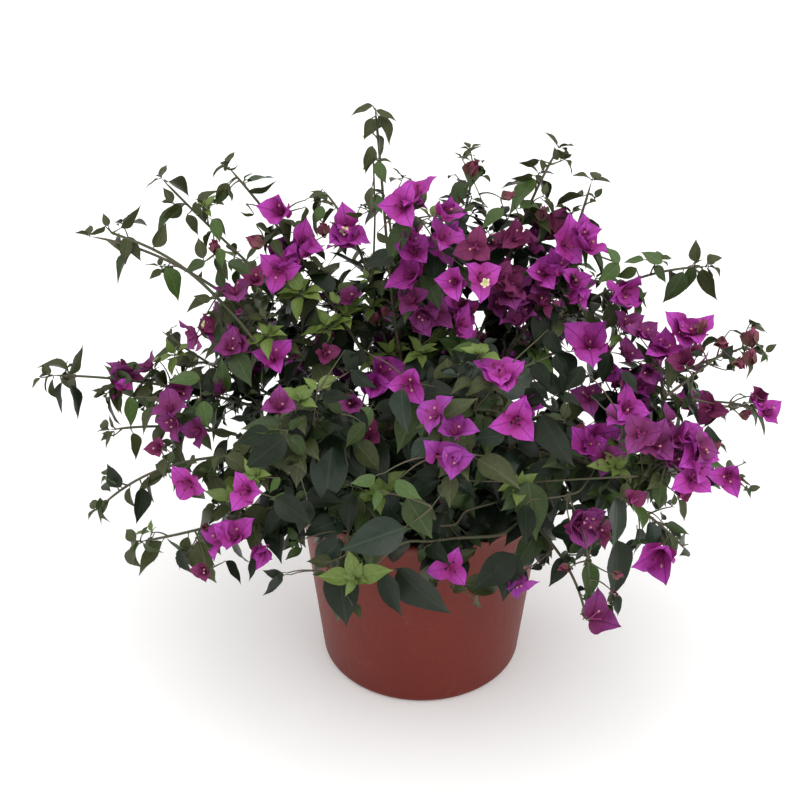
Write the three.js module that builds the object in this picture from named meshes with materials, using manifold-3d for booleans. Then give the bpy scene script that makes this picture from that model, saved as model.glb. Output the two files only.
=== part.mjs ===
// Potted bougainvillea: a young patio shrub, in flower, in a smooth plastic nursery pot.
// Millimetres, Z up. The origin is the centre of the pot's flat underside.
// +X is the viewer's right and -Y is the side that faces the viewer.

import * as THREE from 'three';
import { mergeVertices } from 'three/addons/utils/BufferGeometryUtils.js';
import Module from 'manifold-3d';

const wasm = await Module();
wasm.setup();

// Driving dimensions: the pot
const POT_HEIGHT = 220;
const POT_TOP_RADIUS = 129;
const POT_BASE_RADIUS = 105;
const POT_WALL = 2.5;
const POT_HEEL_RADIUS = 8;
const RIM_HEIGHT = 9;
const RIM_OVERHANG = 2;
const POT_SIDES = 32;

// Driving dimensions: the potting soil
const SOIL_HEIGHT = 196;
const SOIL_CROWN = 3;
const SOIL_FLAT_RADIUS = 32;

// Driving dimensions: the trunk
const TRUNK_HEIGHT = 72;
const TRUNK_FLARE_RADIUS = 19;
const TRUNK_RADIUS = 12;
const TRUNK_TOP_RADIUS = 9.5;
const TRUNK_LEAN = new THREE.Vector3(-5, 4, 0);
const TRUNK_FLARE_FALL = 7;
const TRUNK_HANDLES = [0.35, 0.7];
const TRUNK_SIDES = 10;
const TRUNK_STEPS = 7;

// Driving dimensions: canes
const CANE_TIP_RADIUS = 1.4;
const CANE_TAPER = 0.62;
const CANE_HANDLE = 0.38;
const BOUGH_SIDES = 4;
const BOUGH_STEPS = 4;
const STEM_SIDES = 3;
const STEM_STEPS = 6;
const LINE_STEPS = 14;

// Driving dimensions: side twigs. TWIG_SIZES are the shares of its length that one is tried at,
// and TWIG_CHECK is how far back from its end its room is tried too.
const TWIG_RADIUS = 0.9;
const TWIG_TIP_RADIUS = 0.7;
const TWIG_SIDES = 3;
const TWIG_LEAN = THREE.MathUtils.degToRad(52);
const TWIG_LIFT = 0.16;
const TWIG_TURN_RANGE = 0.8;
const TWIG_PLACES = [0.25, 0.75];
const TWIG_LENGTHS = [0.8, 1.2];
const TWIG_SHRINK = 0.4;
const TWIG_BLOOM_LENGTH = 0.6;
const TWIG_SIZES = [1, 0.75, 0.55, 0.4, 0.28];
const TWIG_CHECK = 0.4;
const TWIG_LEAF_EVERY = 22;
const TWIG_FIRST_LEAF = 0.5;
const STEM_LEAF_EVERY = 21;
const STEM_FIRST_LEAF = 0.6;

// Driving dimensions: leaves. LEAF_ALONG, LEAF_OUT and LEAF_DROOPS are the parts of its
// direction that follow the twig, stand off from it and hang. LEAF_TURNS are tried by turns.
const LEAF_LENGTH = 64;
const LEAF_WIDTH = 0.66;
const LEAF_WIDEST = 0.42;
const LEAF_TIP_FALL = 0.08;
const LEAF_THICKNESS = 1.6;
const LEAF_ALONG = 0.45;
const LEAF_OUT = 0.85;
const LEAF_TILT = 0.4;
const LEAF_DROOPS = [0.3, 0.65];
const LEAF_SIZES = [0.85, 1.15];
const LEAF_SHRINK = [1.35, 0.5];
const LEAF_TURNS = [0, 0.9, -0.9, 1.8, -1.8, 2.7];
const LEAF_APART = 14;
const TWIG_TIP_LEAF = 0.8;
const STEM_TIP_LEAF = 0.85;
const STEM_TIP_TURNS = [1, 4];

// Driving dimensions: bracts. BRACT_SIZES are the shares of the full reach that are tried.
const BRACT_REACH = 32;
const BRACT_SIZES = [1, 0.86, 0.72];
const BRACT_NOTCH = 0.46;
const BRACT_CUP = 0.3;
const BRACT_DEPTH = 0.36;
const BRACT_NOTCH_DEPTH = 0.288;
const BRACT_FLOOR_DEPTH = 0.162;
const BRACT_LIFT = 0.35;
const BRACT_APART = 13;

// What is sunk in the twig that carries it, and the shortest edge that a join may leave
const ROOT_DEPTH = 0.1;
const SHORTEST_EDGE = 0.005;

// The first seeds, and the step from one mass's to the next one's
const FIRST_SEED = 4100;
const FIRST_LEAF_SEED = 7300;
const SEED_STEP = 97;

// Clearances
const SEAT_GAP = 0.3;
const SPACE_MARGIN = 2.4;
const LIMB_MARGIN = 2;
const POT_MARGIN = 3;

const GOLDEN_ANGLE = THREE.MathUtils.degToRad(137.508);
const UP = new THREE.Vector3(0, 0, 1);

// Each cane is one arching shoot from the trunk. azimuth: the way it points, from +X towards +Y.
// reach and tip: how far out and how high its tip is. rise and dip: its slope at the foot and
// at the tip. swing: how far its foot is turned from its azimuth. foot: where it leaves the trunk.
// bare: the share of it that is a bare bough. girth: its radius at the foot. spread: its longest
// twig. bloom: the share of twigs that end in bracts. leaf: leaf size, 1 for a full-grown one.
const CANES = [
  // Long whips to the left, few-leaved towards their tips
  {
    name: 'left_long', azimuth: 178, reach: 374, tip: 328, rise: 12, dip: 3, swing: -12,
    foot: 232, bare: 0.3, girth: 3, spread: 66, twigs: 6, bloom: 0.6, leaf: 0.75,
  },
  {
    name: 'left_mid', azimuth: 193, reach: 310, tip: 316, rise: 12, dip: -5, swing: 10,
    foot: 226, bare: 0.3, girth: 2.8, spread: 62, twigs: 5, bloom: 0.6, leaf: 0.8,
  },
  {
    name: 'left_arching', azimuth: 201, reach: 330, tip: 260, rise: 24, dip: -42, swing: 12,
    foot: 213, bare: 0.34, girth: 2.6, spread: 60, twigs: 4, bloom: 0.6, leaf: 0.8,
  },
  {
    name: 'left_low', azimuth: 210, reach: 310, tip: 246, rise: 22, dip: 4, swing: 18,
    foot: 228, bare: 0.22, girth: 2.8, spread: 74, twigs: 6, bloom: 0.5, leaf: 1,
  },
  {
    name: 'left_rear', azimuth: 166, reach: 276, tip: 350, rise: 22, dip: 36, swing: 2,
    foot: 238, bare: 0.2, girth: 2.6, spread: 76, twigs: 6, bloom: 0.5, leaf: 0.95,
  },
  {
    name: 'upper_left_long', azimuth: 175, reach: 322, tip: 474, rise: 40, dip: 0, swing: 26,
    foot: 250, bare: 0.34, girth: 3.4, spread: 56, twigs: 4, bloom: 0.3, leaf: 0.75,
  },
  {
    name: 'upper_left_curved', azimuth: 161, reach: 272, tip: 508, rise: 40, dip: 48, swing: -20,
    foot: 250, bare: 0.34, girth: 2.8, spread: 66, twigs: 5, bloom: 0.5, leaf: 0.8,
  },
  {
    name: 'upper_left_straight', azimuth: 168, reach: 190, tip: 542, rise: 62, dip: 46, swing: 16,
    foot: 254, bare: 0.3, girth: 2.8, spread: 72, twigs: 6, bloom: 0.6, leaf: 0.8,
  },

  // The crown's top
  {
    name: 'top_whip', azimuth: 156, reach: 50, tip: 608, rise: 76, dip: 84, swing: 10,
    foot: 260, bare: 0.36, girth: 2.4, spread: 30, twigs: 3, bloom: 0, leaf: 0.7,
  },
  {
    name: 'top_left', azimuth: 132, reach: 150, tip: 486, rise: 58, dip: 20, swing: 8,
    foot: 245, bare: 0.24, girth: 2.4, spread: 84, twigs: 5, bloom: 0.6, leaf: 0.8,
  },
  {
    name: 'top_blossom', azimuth: 250, reach: 34, tip: 530, rise: 68, dip: 64, swing: 10,
    foot: 258, bare: 0, girth: 2.6, spread: 88, twigs: 8, bloom: 0.6, leaf: 1.2,
  },
  {
    name: 'top_bud', azimuth: 52, reach: 80, tip: 534, rise: 68, dip: 72, swing: 4,
    foot: 264, bare: 0.2, girth: 2.4, spread: 80, twigs: 6, bloom: 0.6, leaf: 0.9,
  },
  {
    name: 'upper_right_long', azimuth: 34, reach: 158, tip: 540, rise: 52, dip: 46, swing: -20,
    foot: 256, bare: 0.3, girth: 2.8, spread: 72, twigs: 6, bloom: 0.7, leaf: 0.9,
  },
  {
    name: 'upper_right_short', azimuth: 12, reach: 162, tip: 530, rise: 46, dip: 78, swing: -6,
    foot: 246, bare: 0.16, girth: 2.8, spread: 80, twigs: 7, bloom: 0.7, leaf: 1,
  },

  // The right-hand side, heavy with bracts
  {
    name: 'right_top', azimuth: 14, reach: 294, tip: 420, rise: 44, dip: -4, swing: 8,
    foot: 234, bare: 0.34, girth: 2.8, spread: 70, twigs: 5, bloom: 0.6, leaf: 0.85,
  },
  {
    name: 'right_bud', azimuth: 3, reach: 328, tip: 362, rise: 16, dip: 22, swing: -2,
    foot: 232, bare: 0.3, girth: 3, spread: 72, twigs: 7, bloom: 0.8, leaf: 0.8,
  },
  {
    name: 'right_thin', azimuth: 10, reach: 346, tip: 264, rise: 24, dip: -12, swing: 8,
    foot: 222, bare: 0.34, girth: 2.6, spread: 66, twigs: 6, bloom: 0.8, leaf: 0.8,
  },
  {
    name: 'right_mid', azimuth: 345, reach: 318, tip: 262, rise: 24, dip: -30, swing: -14,
    foot: 224, bare: 0.3, girth: 2.8, spread: 72, twigs: 6, bloom: 0.8, leaf: 0.9,
  },
  {
    name: 'right_low', azimuth: 328, reach: 292, tip: 234, rise: 30, dip: -40, swing: -4,
    foot: 230, bare: 0.18, girth: 2.8, spread: 74, twigs: 6, bloom: 0.6, leaf: 1.05,
  },
  {
    name: 'right_front', azimuth: 308, reach: 246, tip: 184, rise: 38, dip: -76, swing: -3,
    foot: 218, bare: 0.3, girth: 2.6, spread: 50, twigs: 5, bloom: 0.6, leaf: 0.85,
  },
  {
    name: 'front_right', azimuth: 312, reach: 286, tip: 356, rise: 26, dip: 16, swing: 10,
    foot: 246, bare: 0.16, girth: 2.8, spread: 74, twigs: 6, bloom: 0.4, leaf: 1,
  },

  // Leafy masses in front, which arch over the rim
  {
    name: 'front_low', azimuth: 278, reach: 182, tip: 206, rise: 48, dip: -66, swing: 6,
    foot: 236, bare: 0, girth: 2.6, spread: 74, twigs: 7, bloom: 0.3, leaf: 1.15,
  },
  {
    name: 'front_left_low', azimuth: 244, reach: 196, tip: 212, rise: 46, dip: -62, swing: -4,
    foot: 232, bare: 0, girth: 2.6, spread: 76, twigs: 7, bloom: 0.25, leaf: 1.15,
  },
  {
    name: 'front_dome', azimuth: 284, reach: 176, tip: 400, rise: 56, dip: 18, swing: -8,
    foot: 256, bare: 0, girth: 2.6, spread: 90, twigs: 8, bloom: 0.4, leaf: 1.3,
  },
  {
    name: 'front_left_dome', azimuth: 232, reach: 216, tip: 372, rise: 42, dip: 14, swing: 6,
    foot: 246, bare: 0, girth: 2.8, spread: 88, twigs: 8, bloom: 0.4, leaf: 1.25,
  },

  // The far side, filled out like the near one
  {
    name: 'rear_left_low', azimuth: 136, reach: 284, tip: 268, rise: 30, dip: -30, swing: 8,
    foot: 230, bare: 0.24, girth: 2.8, spread: 82, twigs: 6, bloom: 0.6, leaf: 1.1,
  },
  {
    name: 'rear_low', azimuth: 96, reach: 262, tip: 232, rise: 38, dip: -48, swing: -6,
    foot: 232, bare: 0.24, girth: 2.8, spread: 82, twigs: 6, bloom: 0.5, leaf: 1.15,
  },
  {
    name: 'rear_right_low', azimuth: 52, reach: 300, tip: 282, rise: 28, dip: -22, swing: 6,
    foot: 226, bare: 0.24, girth: 2.8, spread: 82, twigs: 6, bloom: 0.6, leaf: 1.1,
  },
  {
    name: 'rear_dome', azimuth: 100, reach: 210, tip: 432, rise: 52, dip: 16, swing: 10,
    foot: 250, bare: 0, girth: 2.8, spread: 90, twigs: 8, bloom: 0.6, leaf: 1.1,
  },
];

// Random draws: a whole-number generator, so that each shoot always grows the same way.
function drawsFrom(seed) {
  let state = seed;
  return () => {
    state = (state * 48271) % 2147483647;
    return state / 2147483647;
  };
}

// Directions
function heading(azimuth, slope) {
  const a = THREE.MathUtils.degToRad(azimuth);
  const s = THREE.MathUtils.degToRad(slope);
  return new THREE.Vector3(Math.cos(a) * Math.cos(s), Math.sin(a) * Math.cos(s), Math.sin(s));
}

function sideways(direction, turn) {
  const reference = Math.abs(direction.z) < 0.9 ? UP : new THREE.Vector3(1, 0, 0);
  const across = new THREE.Vector3().crossVectors(direction, reference).normalize();
  const above = new THREE.Vector3().crossVectors(across, direction);
  return across.multiplyScalar(Math.cos(turn)).addScaledVector(above, Math.sin(turn));
}

// Solids
function solidOf(geometry) {
  const bare = geometry.clone();
  bare.deleteAttribute('normal');
  bare.deleteAttribute('uv');
  const merged = mergeVertices(bare, 1e-4);
  return new wasm.Manifold(new wasm.Mesh({
    numProp: 3,
    vertProperties: new Float32Array(merged.attributes.position.array),
    triVerts: new Uint32Array(merged.index.array),
  }));
}

function geometryOf(solid) {
  const { vertProperties, triVerts } = solid.getMesh();
  const geometry = new THREE.BufferGeometry();
  geometry.setAttribute('position', new THREE.BufferAttribute(vertProperties, 3));
  geometry.setIndex(new THREE.BufferAttribute(triVerts, 1));
  geometry.computeVertexNormals();
  return geometry;
}

// The largest body alone: a sealed hollow is filled and a loose scrap dropped.
function onePiece(solid) {
  return solid.decompose().reduce((best, body) => (body.volume() > best.volume() ? body : best));
}

// False where a join has left two corners that nearly touch, or one edge between four faces.
function isSound(solid) {
  const { vertProperties, triVerts } = solid.getMesh();
  const corners = new Set();
  for (let i = 0; i < vertProperties.length; i += 3) {
    const corner = [...vertProperties.subarray(i, i + 3)];
    corners.add(corner.map((value) => Math.round(value / SHORTEST_EDGE)).join());
  }
  const edges = new Set();
  for (let i = 0; i < triVerts.length; i += 3) {
    for (let k = 0; k < 3; k += 1) edges.add(`${triVerts[i + k]} ${triVerts[i + (k + 1) % 3]}`);
  }
  return corners.size === vertProperties.length / 3 && edges.size === triVerts.length;
}

// A tapering rod: a cylinder laid along a curve, its radius given for each share of the length.
function rod(curve, radiusAt, sides, steps) {
  const geometry = new THREE.CylinderGeometry(1, 1, 1, sides, steps);
  const frames = curve.computeFrenetFrames(steps);
  const position = geometry.attributes.position;
  for (let i = 0; i < position.count; i += 1) {
    const step = Math.round((position.getY(i) + 0.5) * steps);
    const radius = radiusAt(step / steps);
    const point = curve.getPointAt(step / steps)
      .addScaledVector(frames.binormals[step], position.getX(i) * radius)
      .addScaledVector(frames.normals[step], position.getZ(i) * radius);
    position.setXYZ(i, point.x, point.y, point.z);
  }
  return geometry;
}

// The stretch of a cubic curve from its start to the share `end`, or from `end` to its tip.
function firstPart(curve, end) {
  const a = curve.v0.clone().lerp(curve.v1, end);
  const b = curve.v1.clone().lerp(curve.v2, end);
  const c = curve.v2.clone().lerp(curve.v3, end);
  const d = a.clone().lerp(b, end);
  const e = b.clone().lerp(c, end);
  return new THREE.CubicBezierCurve3(curve.v0, a, d, d.clone().lerp(e, end));
}

function lastPart(curve, start) {
  const flipped = new THREE.CubicBezierCurve3(curve.v3, curve.v2, curve.v1, curve.v0);
  const kept = firstPart(flipped, 1 - start);
  return new THREE.CubicBezierCurve3(kept.v3, kept.v2, kept.v1, kept.v0);
}

// Pot: a thin moulded cup with a rounded heel, a flat underside and a narrow turned-over rim.
const POT_SLOPE = (POT_TOP_RADIUS - POT_BASE_RADIUS) / POT_HEIGHT;

function potRadius(height) {
  return POT_BASE_RADIUS + POT_SLOPE * height;
}

function potOutside() {
  const points = [new THREE.Vector2(0, 0)];
  const heelSteps = 4;
  for (let i = 0; i <= heelSteps; i += 1) {
    const turn = (i / heelSteps) * Math.PI / 2;
    points.push(new THREE.Vector2(
      potRadius(POT_HEEL_RADIUS) - POT_HEEL_RADIUS * (1 - Math.sin(turn)),
      POT_HEEL_RADIUS * (1 - Math.cos(turn)),
    ));
  }
  const underRim = POT_HEIGHT - RIM_HEIGHT;
  points.push(new THREE.Vector2(potRadius(underRim), underRim));
  points.push(new THREE.Vector2(potRadius(underRim) + RIM_OVERHANG, underRim + RIM_OVERHANG));
  points.push(new THREE.Vector2(POT_TOP_RADIUS + RIM_OVERHANG, POT_HEIGHT - RIM_OVERHANG / 2));
  points.push(new THREE.Vector2(POT_TOP_RADIUS, POT_HEIGHT));
  return points;
}

function potInside() {
  return [
    new THREE.Vector2(POT_TOP_RADIUS - POT_WALL, POT_HEIGHT),
    new THREE.Vector2(potRadius(POT_HEEL_RADIUS) - POT_WALL, POT_HEEL_RADIUS),
    new THREE.Vector2(POT_BASE_RADIUS - POT_HEEL_RADIUS, POT_WALL),
    new THREE.Vector2(0, POT_WALL),
  ];
}

function turned(profile) {
  return new THREE.LatheGeometry(profile, POT_SIDES).rotateX(Math.PI / 2);
}

function makePot() {
  return turned([...potOutside(), ...potInside()]);
}

// Potting soil: fills the pot to just under the rim, a little higher round the stem.
function makeSoil() {
  const wallGap = POT_WALL + SEAT_GAP * 1.5;
  const points = [
    new THREE.Vector2(0, POT_WALL + SEAT_GAP),
    new THREE.Vector2(POT_BASE_RADIUS - POT_HEEL_RADIUS - SEAT_GAP, POT_WALL + SEAT_GAP),
    new THREE.Vector2(potRadius(POT_HEEL_RADIUS) - wallGap, POT_HEEL_RADIUS + SEAT_GAP),
    new THREE.Vector2(potRadius(SOIL_HEIGHT) - wallGap, SOIL_HEIGHT),
    new THREE.Vector2(SOIL_FLAT_RADIUS, SOIL_HEIGHT + SOIL_CROWN),
    new THREE.Vector2(0, SOIL_HEIGHT + SOIL_CROWN),
  ];
  return turned(points);
}

// Trunk: a short woody stem with a root flare, leaning a little, cut flat where it meets the soil.
const TRUNK_FOOT = new THREE.Vector3(0, 0, SOIL_HEIGHT + SOIL_CROWN + SEAT_GAP);

const trunkCurve = new THREE.CubicBezierCurve3(
  TRUNK_FOOT,
  TRUNK_FOOT.clone().addScaledVector(UP, TRUNK_HEIGHT * TRUNK_HANDLES[0]),
  TRUNK_FOOT.clone().addScaledVector(UP, TRUNK_HEIGHT * TRUNK_HANDLES[1])
    .addScaledVector(TRUNK_LEAN, TRUNK_HANDLES[1]),
  TRUNK_FOOT.clone().addScaledVector(UP, TRUNK_HEIGHT).add(TRUNK_LEAN),
);

function trunkRadius(share) {
  const flare = (TRUNK_FLARE_RADIUS - TRUNK_RADIUS) * Math.exp(-share * TRUNK_FLARE_FALL);
  return THREE.MathUtils.lerp(TRUNK_RADIUS, TRUNK_TOP_RADIUS, share) + flare;
}

function makeTrunk(extra) {
  return rod(trunkCurve, (share) => trunkRadius(share) + extra, TRUNK_SIDES, TRUNK_STEPS);
}

// Canes
function caneCurve(cane) {
  const share = (cane.foot - TRUNK_FOOT.z) / TRUNK_HEIGHT;
  const foot = trunkCurve.getPoint(share);
  const tip = heading(cane.azimuth, 0).multiplyScalar(cane.reach).setZ(cane.tip);
  const handle = foot.distanceTo(tip) * CANE_HANDLE;
  return new THREE.CubicBezierCurve3(
    foot,
    foot.clone().addScaledVector(heading(cane.azimuth + cane.swing, cane.rise), handle),
    tip.clone().addScaledVector(heading(cane.azimuth - cane.swing / 2, cane.dip), -handle),
    tip,
  );
}

function caneRadius(cane, share) {
  return THREE.MathUtils.lerp(cane.girth, CANE_TIP_RADIUS, share ** CANE_TAPER);
}

const shoots = CANES.map((cane) => {
  const curve = caneCurve(cane);
  const stem = lastPart(curve, cane.bare);
  return { cane, curve, stem, line: stem.getPoints(LINE_STEPS) };
});

function makeBough(shoot, extra) {
  const { cane, curve } = shoot;
  const radiusAt = (share) => caneRadius(cane, cane.bare * share) + extra;
  const bough = solidOf(rod(firstPart(curve, cane.bare), radiusAt, BOUGH_SIDES, BOUGH_STEPS));
  return onePiece(bough.subtract(solidOf(makeTrunk(SEAT_GAP))));
}

// The pot and all the bare wood, with a little room round it, which no twig or leaf may touch.
const filledPot = solidOf(turned([...potOutside(), new THREE.Vector2(0, POT_HEIGHT)]));
const keepOff = shoots.filter((shoot) => shoot.cane.bare)
  .map((shoot) => makeBough(shoot, LIMB_MARGIN))
  .reduce((all, bough) => all.add(bough), filledPot.add(solidOf(makeTrunk(LIMB_MARGIN))));

// Own space: a mass takes only what lies nearer to its own stem than to any other mass's.
function distanceTo(line, point) {
  const segment = new THREE.Line3();
  const nearest = new THREE.Vector3();
  let least = Infinity;
  for (let i = 1; i < line.length; i += 1) {
    segment.set(line[i - 1], line[i]);
    segment.closestPointToPoint(point, true, nearest);
    least = Math.min(least, nearest.distanceTo(point));
  }
  return least;
}

function clearOfPot(point) {
  return point.z > POT_HEIGHT + POT_MARGIN
    || Math.hypot(point.x, point.y) > potRadius(point.z) + RIM_OVERHANG + POT_MARGIN;
}

function inOwnSpace(points, shoot) {
  return points.every((point) => {
    const own = distanceTo(shoot.line, point);
    return clearOfPot(point) && shoots.every((other) => other === shoot
      || distanceTo(other.line, point) > own + SPACE_MARGIN);
  });
}

// Leaf: a pointed blade with a keel for its midrib. Its root is sunk in the twig.
function leafPoints(root, axis, face, length) {
  const across = new THREE.Vector3().crossVectors(face, axis).normalize();
  const above = new THREE.Vector3().crossVectors(axis, across);
  const middle = root.clone().addScaledVector(axis, length * LEAF_WIDEST);
  return {
    tip: root.clone().addScaledVector(axis, length).addScaledVector(UP, -length * LEAF_TIP_FALL),
    start: root.clone().addScaledVector(axis, -ROOT_DEPTH),
    left: middle.clone().addScaledVector(across, -length * LEAF_WIDTH / 2),
    right: middle.clone().addScaledVector(across, length * LEAF_WIDTH / 2),
    middle,
    keel: middle.clone().addScaledVector(above, -LEAF_THICKNESS),
  };
}

function leafGeometry(blade) {
  const geometry = new THREE.SphereGeometry(1, 3, 2);
  const position = geometry.attributes.position;
  for (let i = 0; i < position.count; i += 1) {
    let point = position.getY(i) > 0 ? blade.tip : blade.start;
    if (Math.abs(position.getY(i)) < 0.5) {
      point = position.getZ(i) > 0 ? blade.right : blade.left;
      if (position.getX(i) < -0.9) point = blade.keel;
    }
    position.setXYZ(i, point.x, point.y, point.z);
  }
  return geometry;
}

// Bracts: three papery pointed bracts, open as a star cup, with the twig's end in its underside.
function bractPoints(end, axis, turn, reach) {
  const rim = [];
  for (let i = 0; i < 6; i += 1) {
    const isTip = i % 2 === 0;
    const rise = isTip ? BRACT_DEPTH + BRACT_CUP : BRACT_NOTCH_DEPTH;
    rim.push(end.clone()
      .addScaledVector(axis, rise * reach)
      .addScaledVector(sideways(axis, turn + i * Math.PI / 3), isTip ? reach : reach * BRACT_NOTCH));
  }
  return {
    rim,
    centre: end.clone().addScaledVector(axis, BRACT_FLOOR_DEPTH * reach),
    base: end.clone().addScaledVector(axis, -ROOT_DEPTH),
  };
}

function bractGeometry(cup) {
  const geometry = new THREE.ConeGeometry(1, 1, 6, 1);
  const position = geometry.attributes.position;
  for (let i = 0; i < position.count; i += 1) {
    const across = Math.hypot(position.getX(i), position.getZ(i));
    const place = Math.round(Math.atan2(position.getX(i), position.getZ(i)) / (Math.PI / 3));
    let point = position.getY(i) > 0 ? cup.base : cup.centre;
    if (across > 0.5) point = cup.rim[(place + 6) % 6];
    position.setXYZ(i, point.x, point.y, point.z);
  }
  return geometry;
}

// Twig: a straight three-sided rod, thinner towards its end
function twig(root, end) {
  const radiusAt = (share) => THREE.MathUtils.lerp(TWIG_RADIUS, TWIG_TIP_RADIUS, share);
  return solidOf(rod(new THREE.LineCurve3(root, end), radiusAt, TWIG_SIDES, 1));
}

// One mass: the rest of the cane as its stem, side twigs turned by the golden angle, leaves by
// turns on both, and bracts at the ends of the twigs that bloom. Twigs and leaves are drawn apart.
function growMass(shoot, number, start) {
  const { cane, stem } = shoot;
  const joints = stem.getSpacedPoints(STEM_STEPS);
  const draw = drawsFrom(FIRST_SEED + SEED_STEP * number);
  const drawLeaf = drawsFrom(FIRST_LEAF_SEED + SEED_STEP * number);
  const pick = ([low, high], share) => THREE.MathUtils.lerp(low, high, share);
  const leafLength = (share) => LEAF_LENGTH * cane.leaf * pick(LEAF_SHRINK, share);
  let mass = start;
  let taken = [];

  const onStem = (share) => {
    const step = Math.min(Math.floor(share * STEM_STEPS), STEM_STEPS - 1);
    return joints[step].clone().lerp(joints[step + 1], share * STEM_STEPS - step);
  };

  const fuse = (piece) => {
    const whole = mass.add(piece);
    if (!isSound(whole)) return false;
    mass = whole;
    return true;
  };

  // Fuses a piece on if it has room: in the mass's own space, off the bare wood, and apart from
  // the points already taken by other pieces.
  const addIfRoom = (geometry, points, apart) => {
    if (points.some((point) => taken.some((other) => other.distanceTo(point) < apart))) return false;
    if (!inOwnSpace(points, shoot)) return false;
    const piece = solidOf(geometry);
    if (!keepOff.intersect(piece).isEmpty() || !fuse(piece)) return false;
    taken = [...taken, ...points];
    return true;
  };

  const addLeaf = (root, along, turn, length) => {
    const droop = pick(LEAF_DROOPS, drawLeaf());
    const size = length * pick(LEAF_SIZES, drawLeaf());
    return LEAF_TURNS.some((more) => {
      const side = sideways(along, turn + more);
      const axis = along.clone().multiplyScalar(LEAF_ALONG)
        .addScaledVector(side, LEAF_OUT)
        .addScaledVector(UP, -droop)
        .normalize();
      const face = UP.clone().addScaledVector(along, LEAF_ALONG).addScaledVector(side, LEAF_TILT);
      const blade = leafPoints(root, axis, face, size);
      const ends = [blade.tip, blade.left, blade.right];
      const halfway = ends.map((end) => blade.middle.clone().lerp(end, 0.5));
      return addIfRoom(leafGeometry(blade), [...ends, ...halfway], LEAF_APART);
    });
  };

  const addBracts = (end, way, turn) => BRACT_SIZES.some((size) => {
    const axis = way.clone().addScaledVector(UP, BRACT_LIFT).normalize();
    const cup = bractPoints(end, axis, turn, BRACT_REACH * size);
    return addIfRoom(bractGeometry(cup), cup.rim, BRACT_APART);
  });

  // Fuses a twig on with what it carries, or nothing at all if it would stay bare.
  const addTwig = (root, end, turn, size, blooms) => {
    const before = { mass, taken };
    const way = end.clone().sub(root).normalize();
    const isEndFilled = fuse(twig(root, end)) && (blooms
      ? addBracts(end, way, turn)
      : addLeaf(end, way, turn, size * TWIG_TIP_LEAF));
    const count = Math.round(end.distanceTo(root) / TWIG_LEAF_EVERY);
    for (let k = 0; isEndFilled && k < count; k += 1) {
      addLeaf(root.clone().lerp(end, (k + TWIG_FIRST_LEAF) / count), way, turn + k * Math.PI, size);
    }
    if (!isEndFilled) ({ mass, taken } = before);
    return isEndFilled;
  };

  for (let i = 0; i < cane.twigs; i += 1) {
    const share = (i + pick(TWIG_PLACES, draw())) / cane.twigs;
    const root = onStem(share);
    const along = stem.getTangentAt(share);
    const around = i * GOLDEN_ANGLE + TWIG_TURN_RANGE * draw();
    const way = along.clone().multiplyScalar(Math.cos(TWIG_LEAN))
      .addScaledVector(sideways(along, around), Math.sin(TWIG_LEAN))
      .addScaledVector(UP, TWIG_LIFT)
      .normalize();
    const blooms = draw() < cane.bloom;
    const longest = cane.spread * (1 - TWIG_SHRINK * share) * pick(TWIG_LENGTHS, draw());
    const turn = draw() * Math.PI;
    const size = leafLength(share);
    const endAt = (part) => root.clone().addScaledVector(way, longest * part);
    const hasRoom = (end) => inOwnSpace([end, end.clone().lerp(root, TWIG_CHECK)], shoot)
      && keepOff.intersect(twig(root, end)).isEmpty();
    const leafyEnds = TWIG_SIZES.map(endAt).filter(hasRoom);
    const bloomEnds = TWIG_SIZES.map((part) => endAt(part * TWIG_BLOOM_LENGTH)).filter(hasRoom);
    if (!blooms || !bloomEnds.some((end) => addTwig(root, end, turn, size, true))) {
      leafyEnds.some((end) => addTwig(root, end, turn, size, false));
    }
  }

  const stemLeaves = Math.round(stem.getLength() / STEM_LEAF_EVERY);
  for (let k = 0; k < stemLeaves; k += 1) {
    const share = (k + STEM_FIRST_LEAF) / stemLeaves;
    const turn = k * Math.PI + TWIG_TURN_RANGE * drawLeaf();
    addLeaf(onStem(share), stem.getTangentAt(share), turn, leafLength(share));
  }
  for (const turn of STEM_TIP_TURNS) {
    addLeaf(onStem(1), stem.getTangentAt(1), turn, leafLength(1) * STEM_TIP_LEAF);
  }
  return mass;
}

function makeMass(shoot, number) {
  const { cane, stem } = shoot;
  const kept = cane.bare ? lastPart(stem, SEAT_GAP / stem.getLength()) : stem;
  const radiusAt = (share) => caneRadius(cane, THREE.MathUtils.lerp(cane.bare, 1, share));
  const rough = solidOf(rod(kept, radiusAt, STEM_SIDES, STEM_STEPS));
  const start = cane.bare ? rough : onePiece(rough.subtract(solidOf(makeTrunk(SEAT_GAP))));
  return onePiece(growMass(shoot, number, start));
}

// Materials
function finish(colour, roughness) {
  return new THREE.MeshStandardMaterial({ color: colour, roughness, metalness: 0 });
}

// Assembly
const plant = new THREE.Group();

function addPiece(name, geometry, material) {
  const mesh = new THREE.Mesh(geometry, material);
  mesh.name = name;
  plant.add(mesh);
}

addPiece('pot', makePot(), finish(0x8a4038, 0.45));
addPiece('potting_soil', makeSoil(), finish(0x3a2c22, 0.95));
addPiece('trunk', geometryOf(solidOf(makeTrunk(0))), finish(0x6a5a48, 0.85));
for (const [number, shoot] of shoots.entries()) {
  const { name, bare, bloom } = shoot.cane;
  if (bare) addPiece(`bough_${name}`, geometryOf(makeBough(shoot, 0)), finish(0x6a5a44, 0.8));
  const colour = bloom > 0.55 ? 0xa02ca8 : 0x3c5a2c;
  addPiece(`mass_${name}`, geometryOf(makeMass(shoot, number)), finish(colour, 0.6));
}

export default plant;
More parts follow.
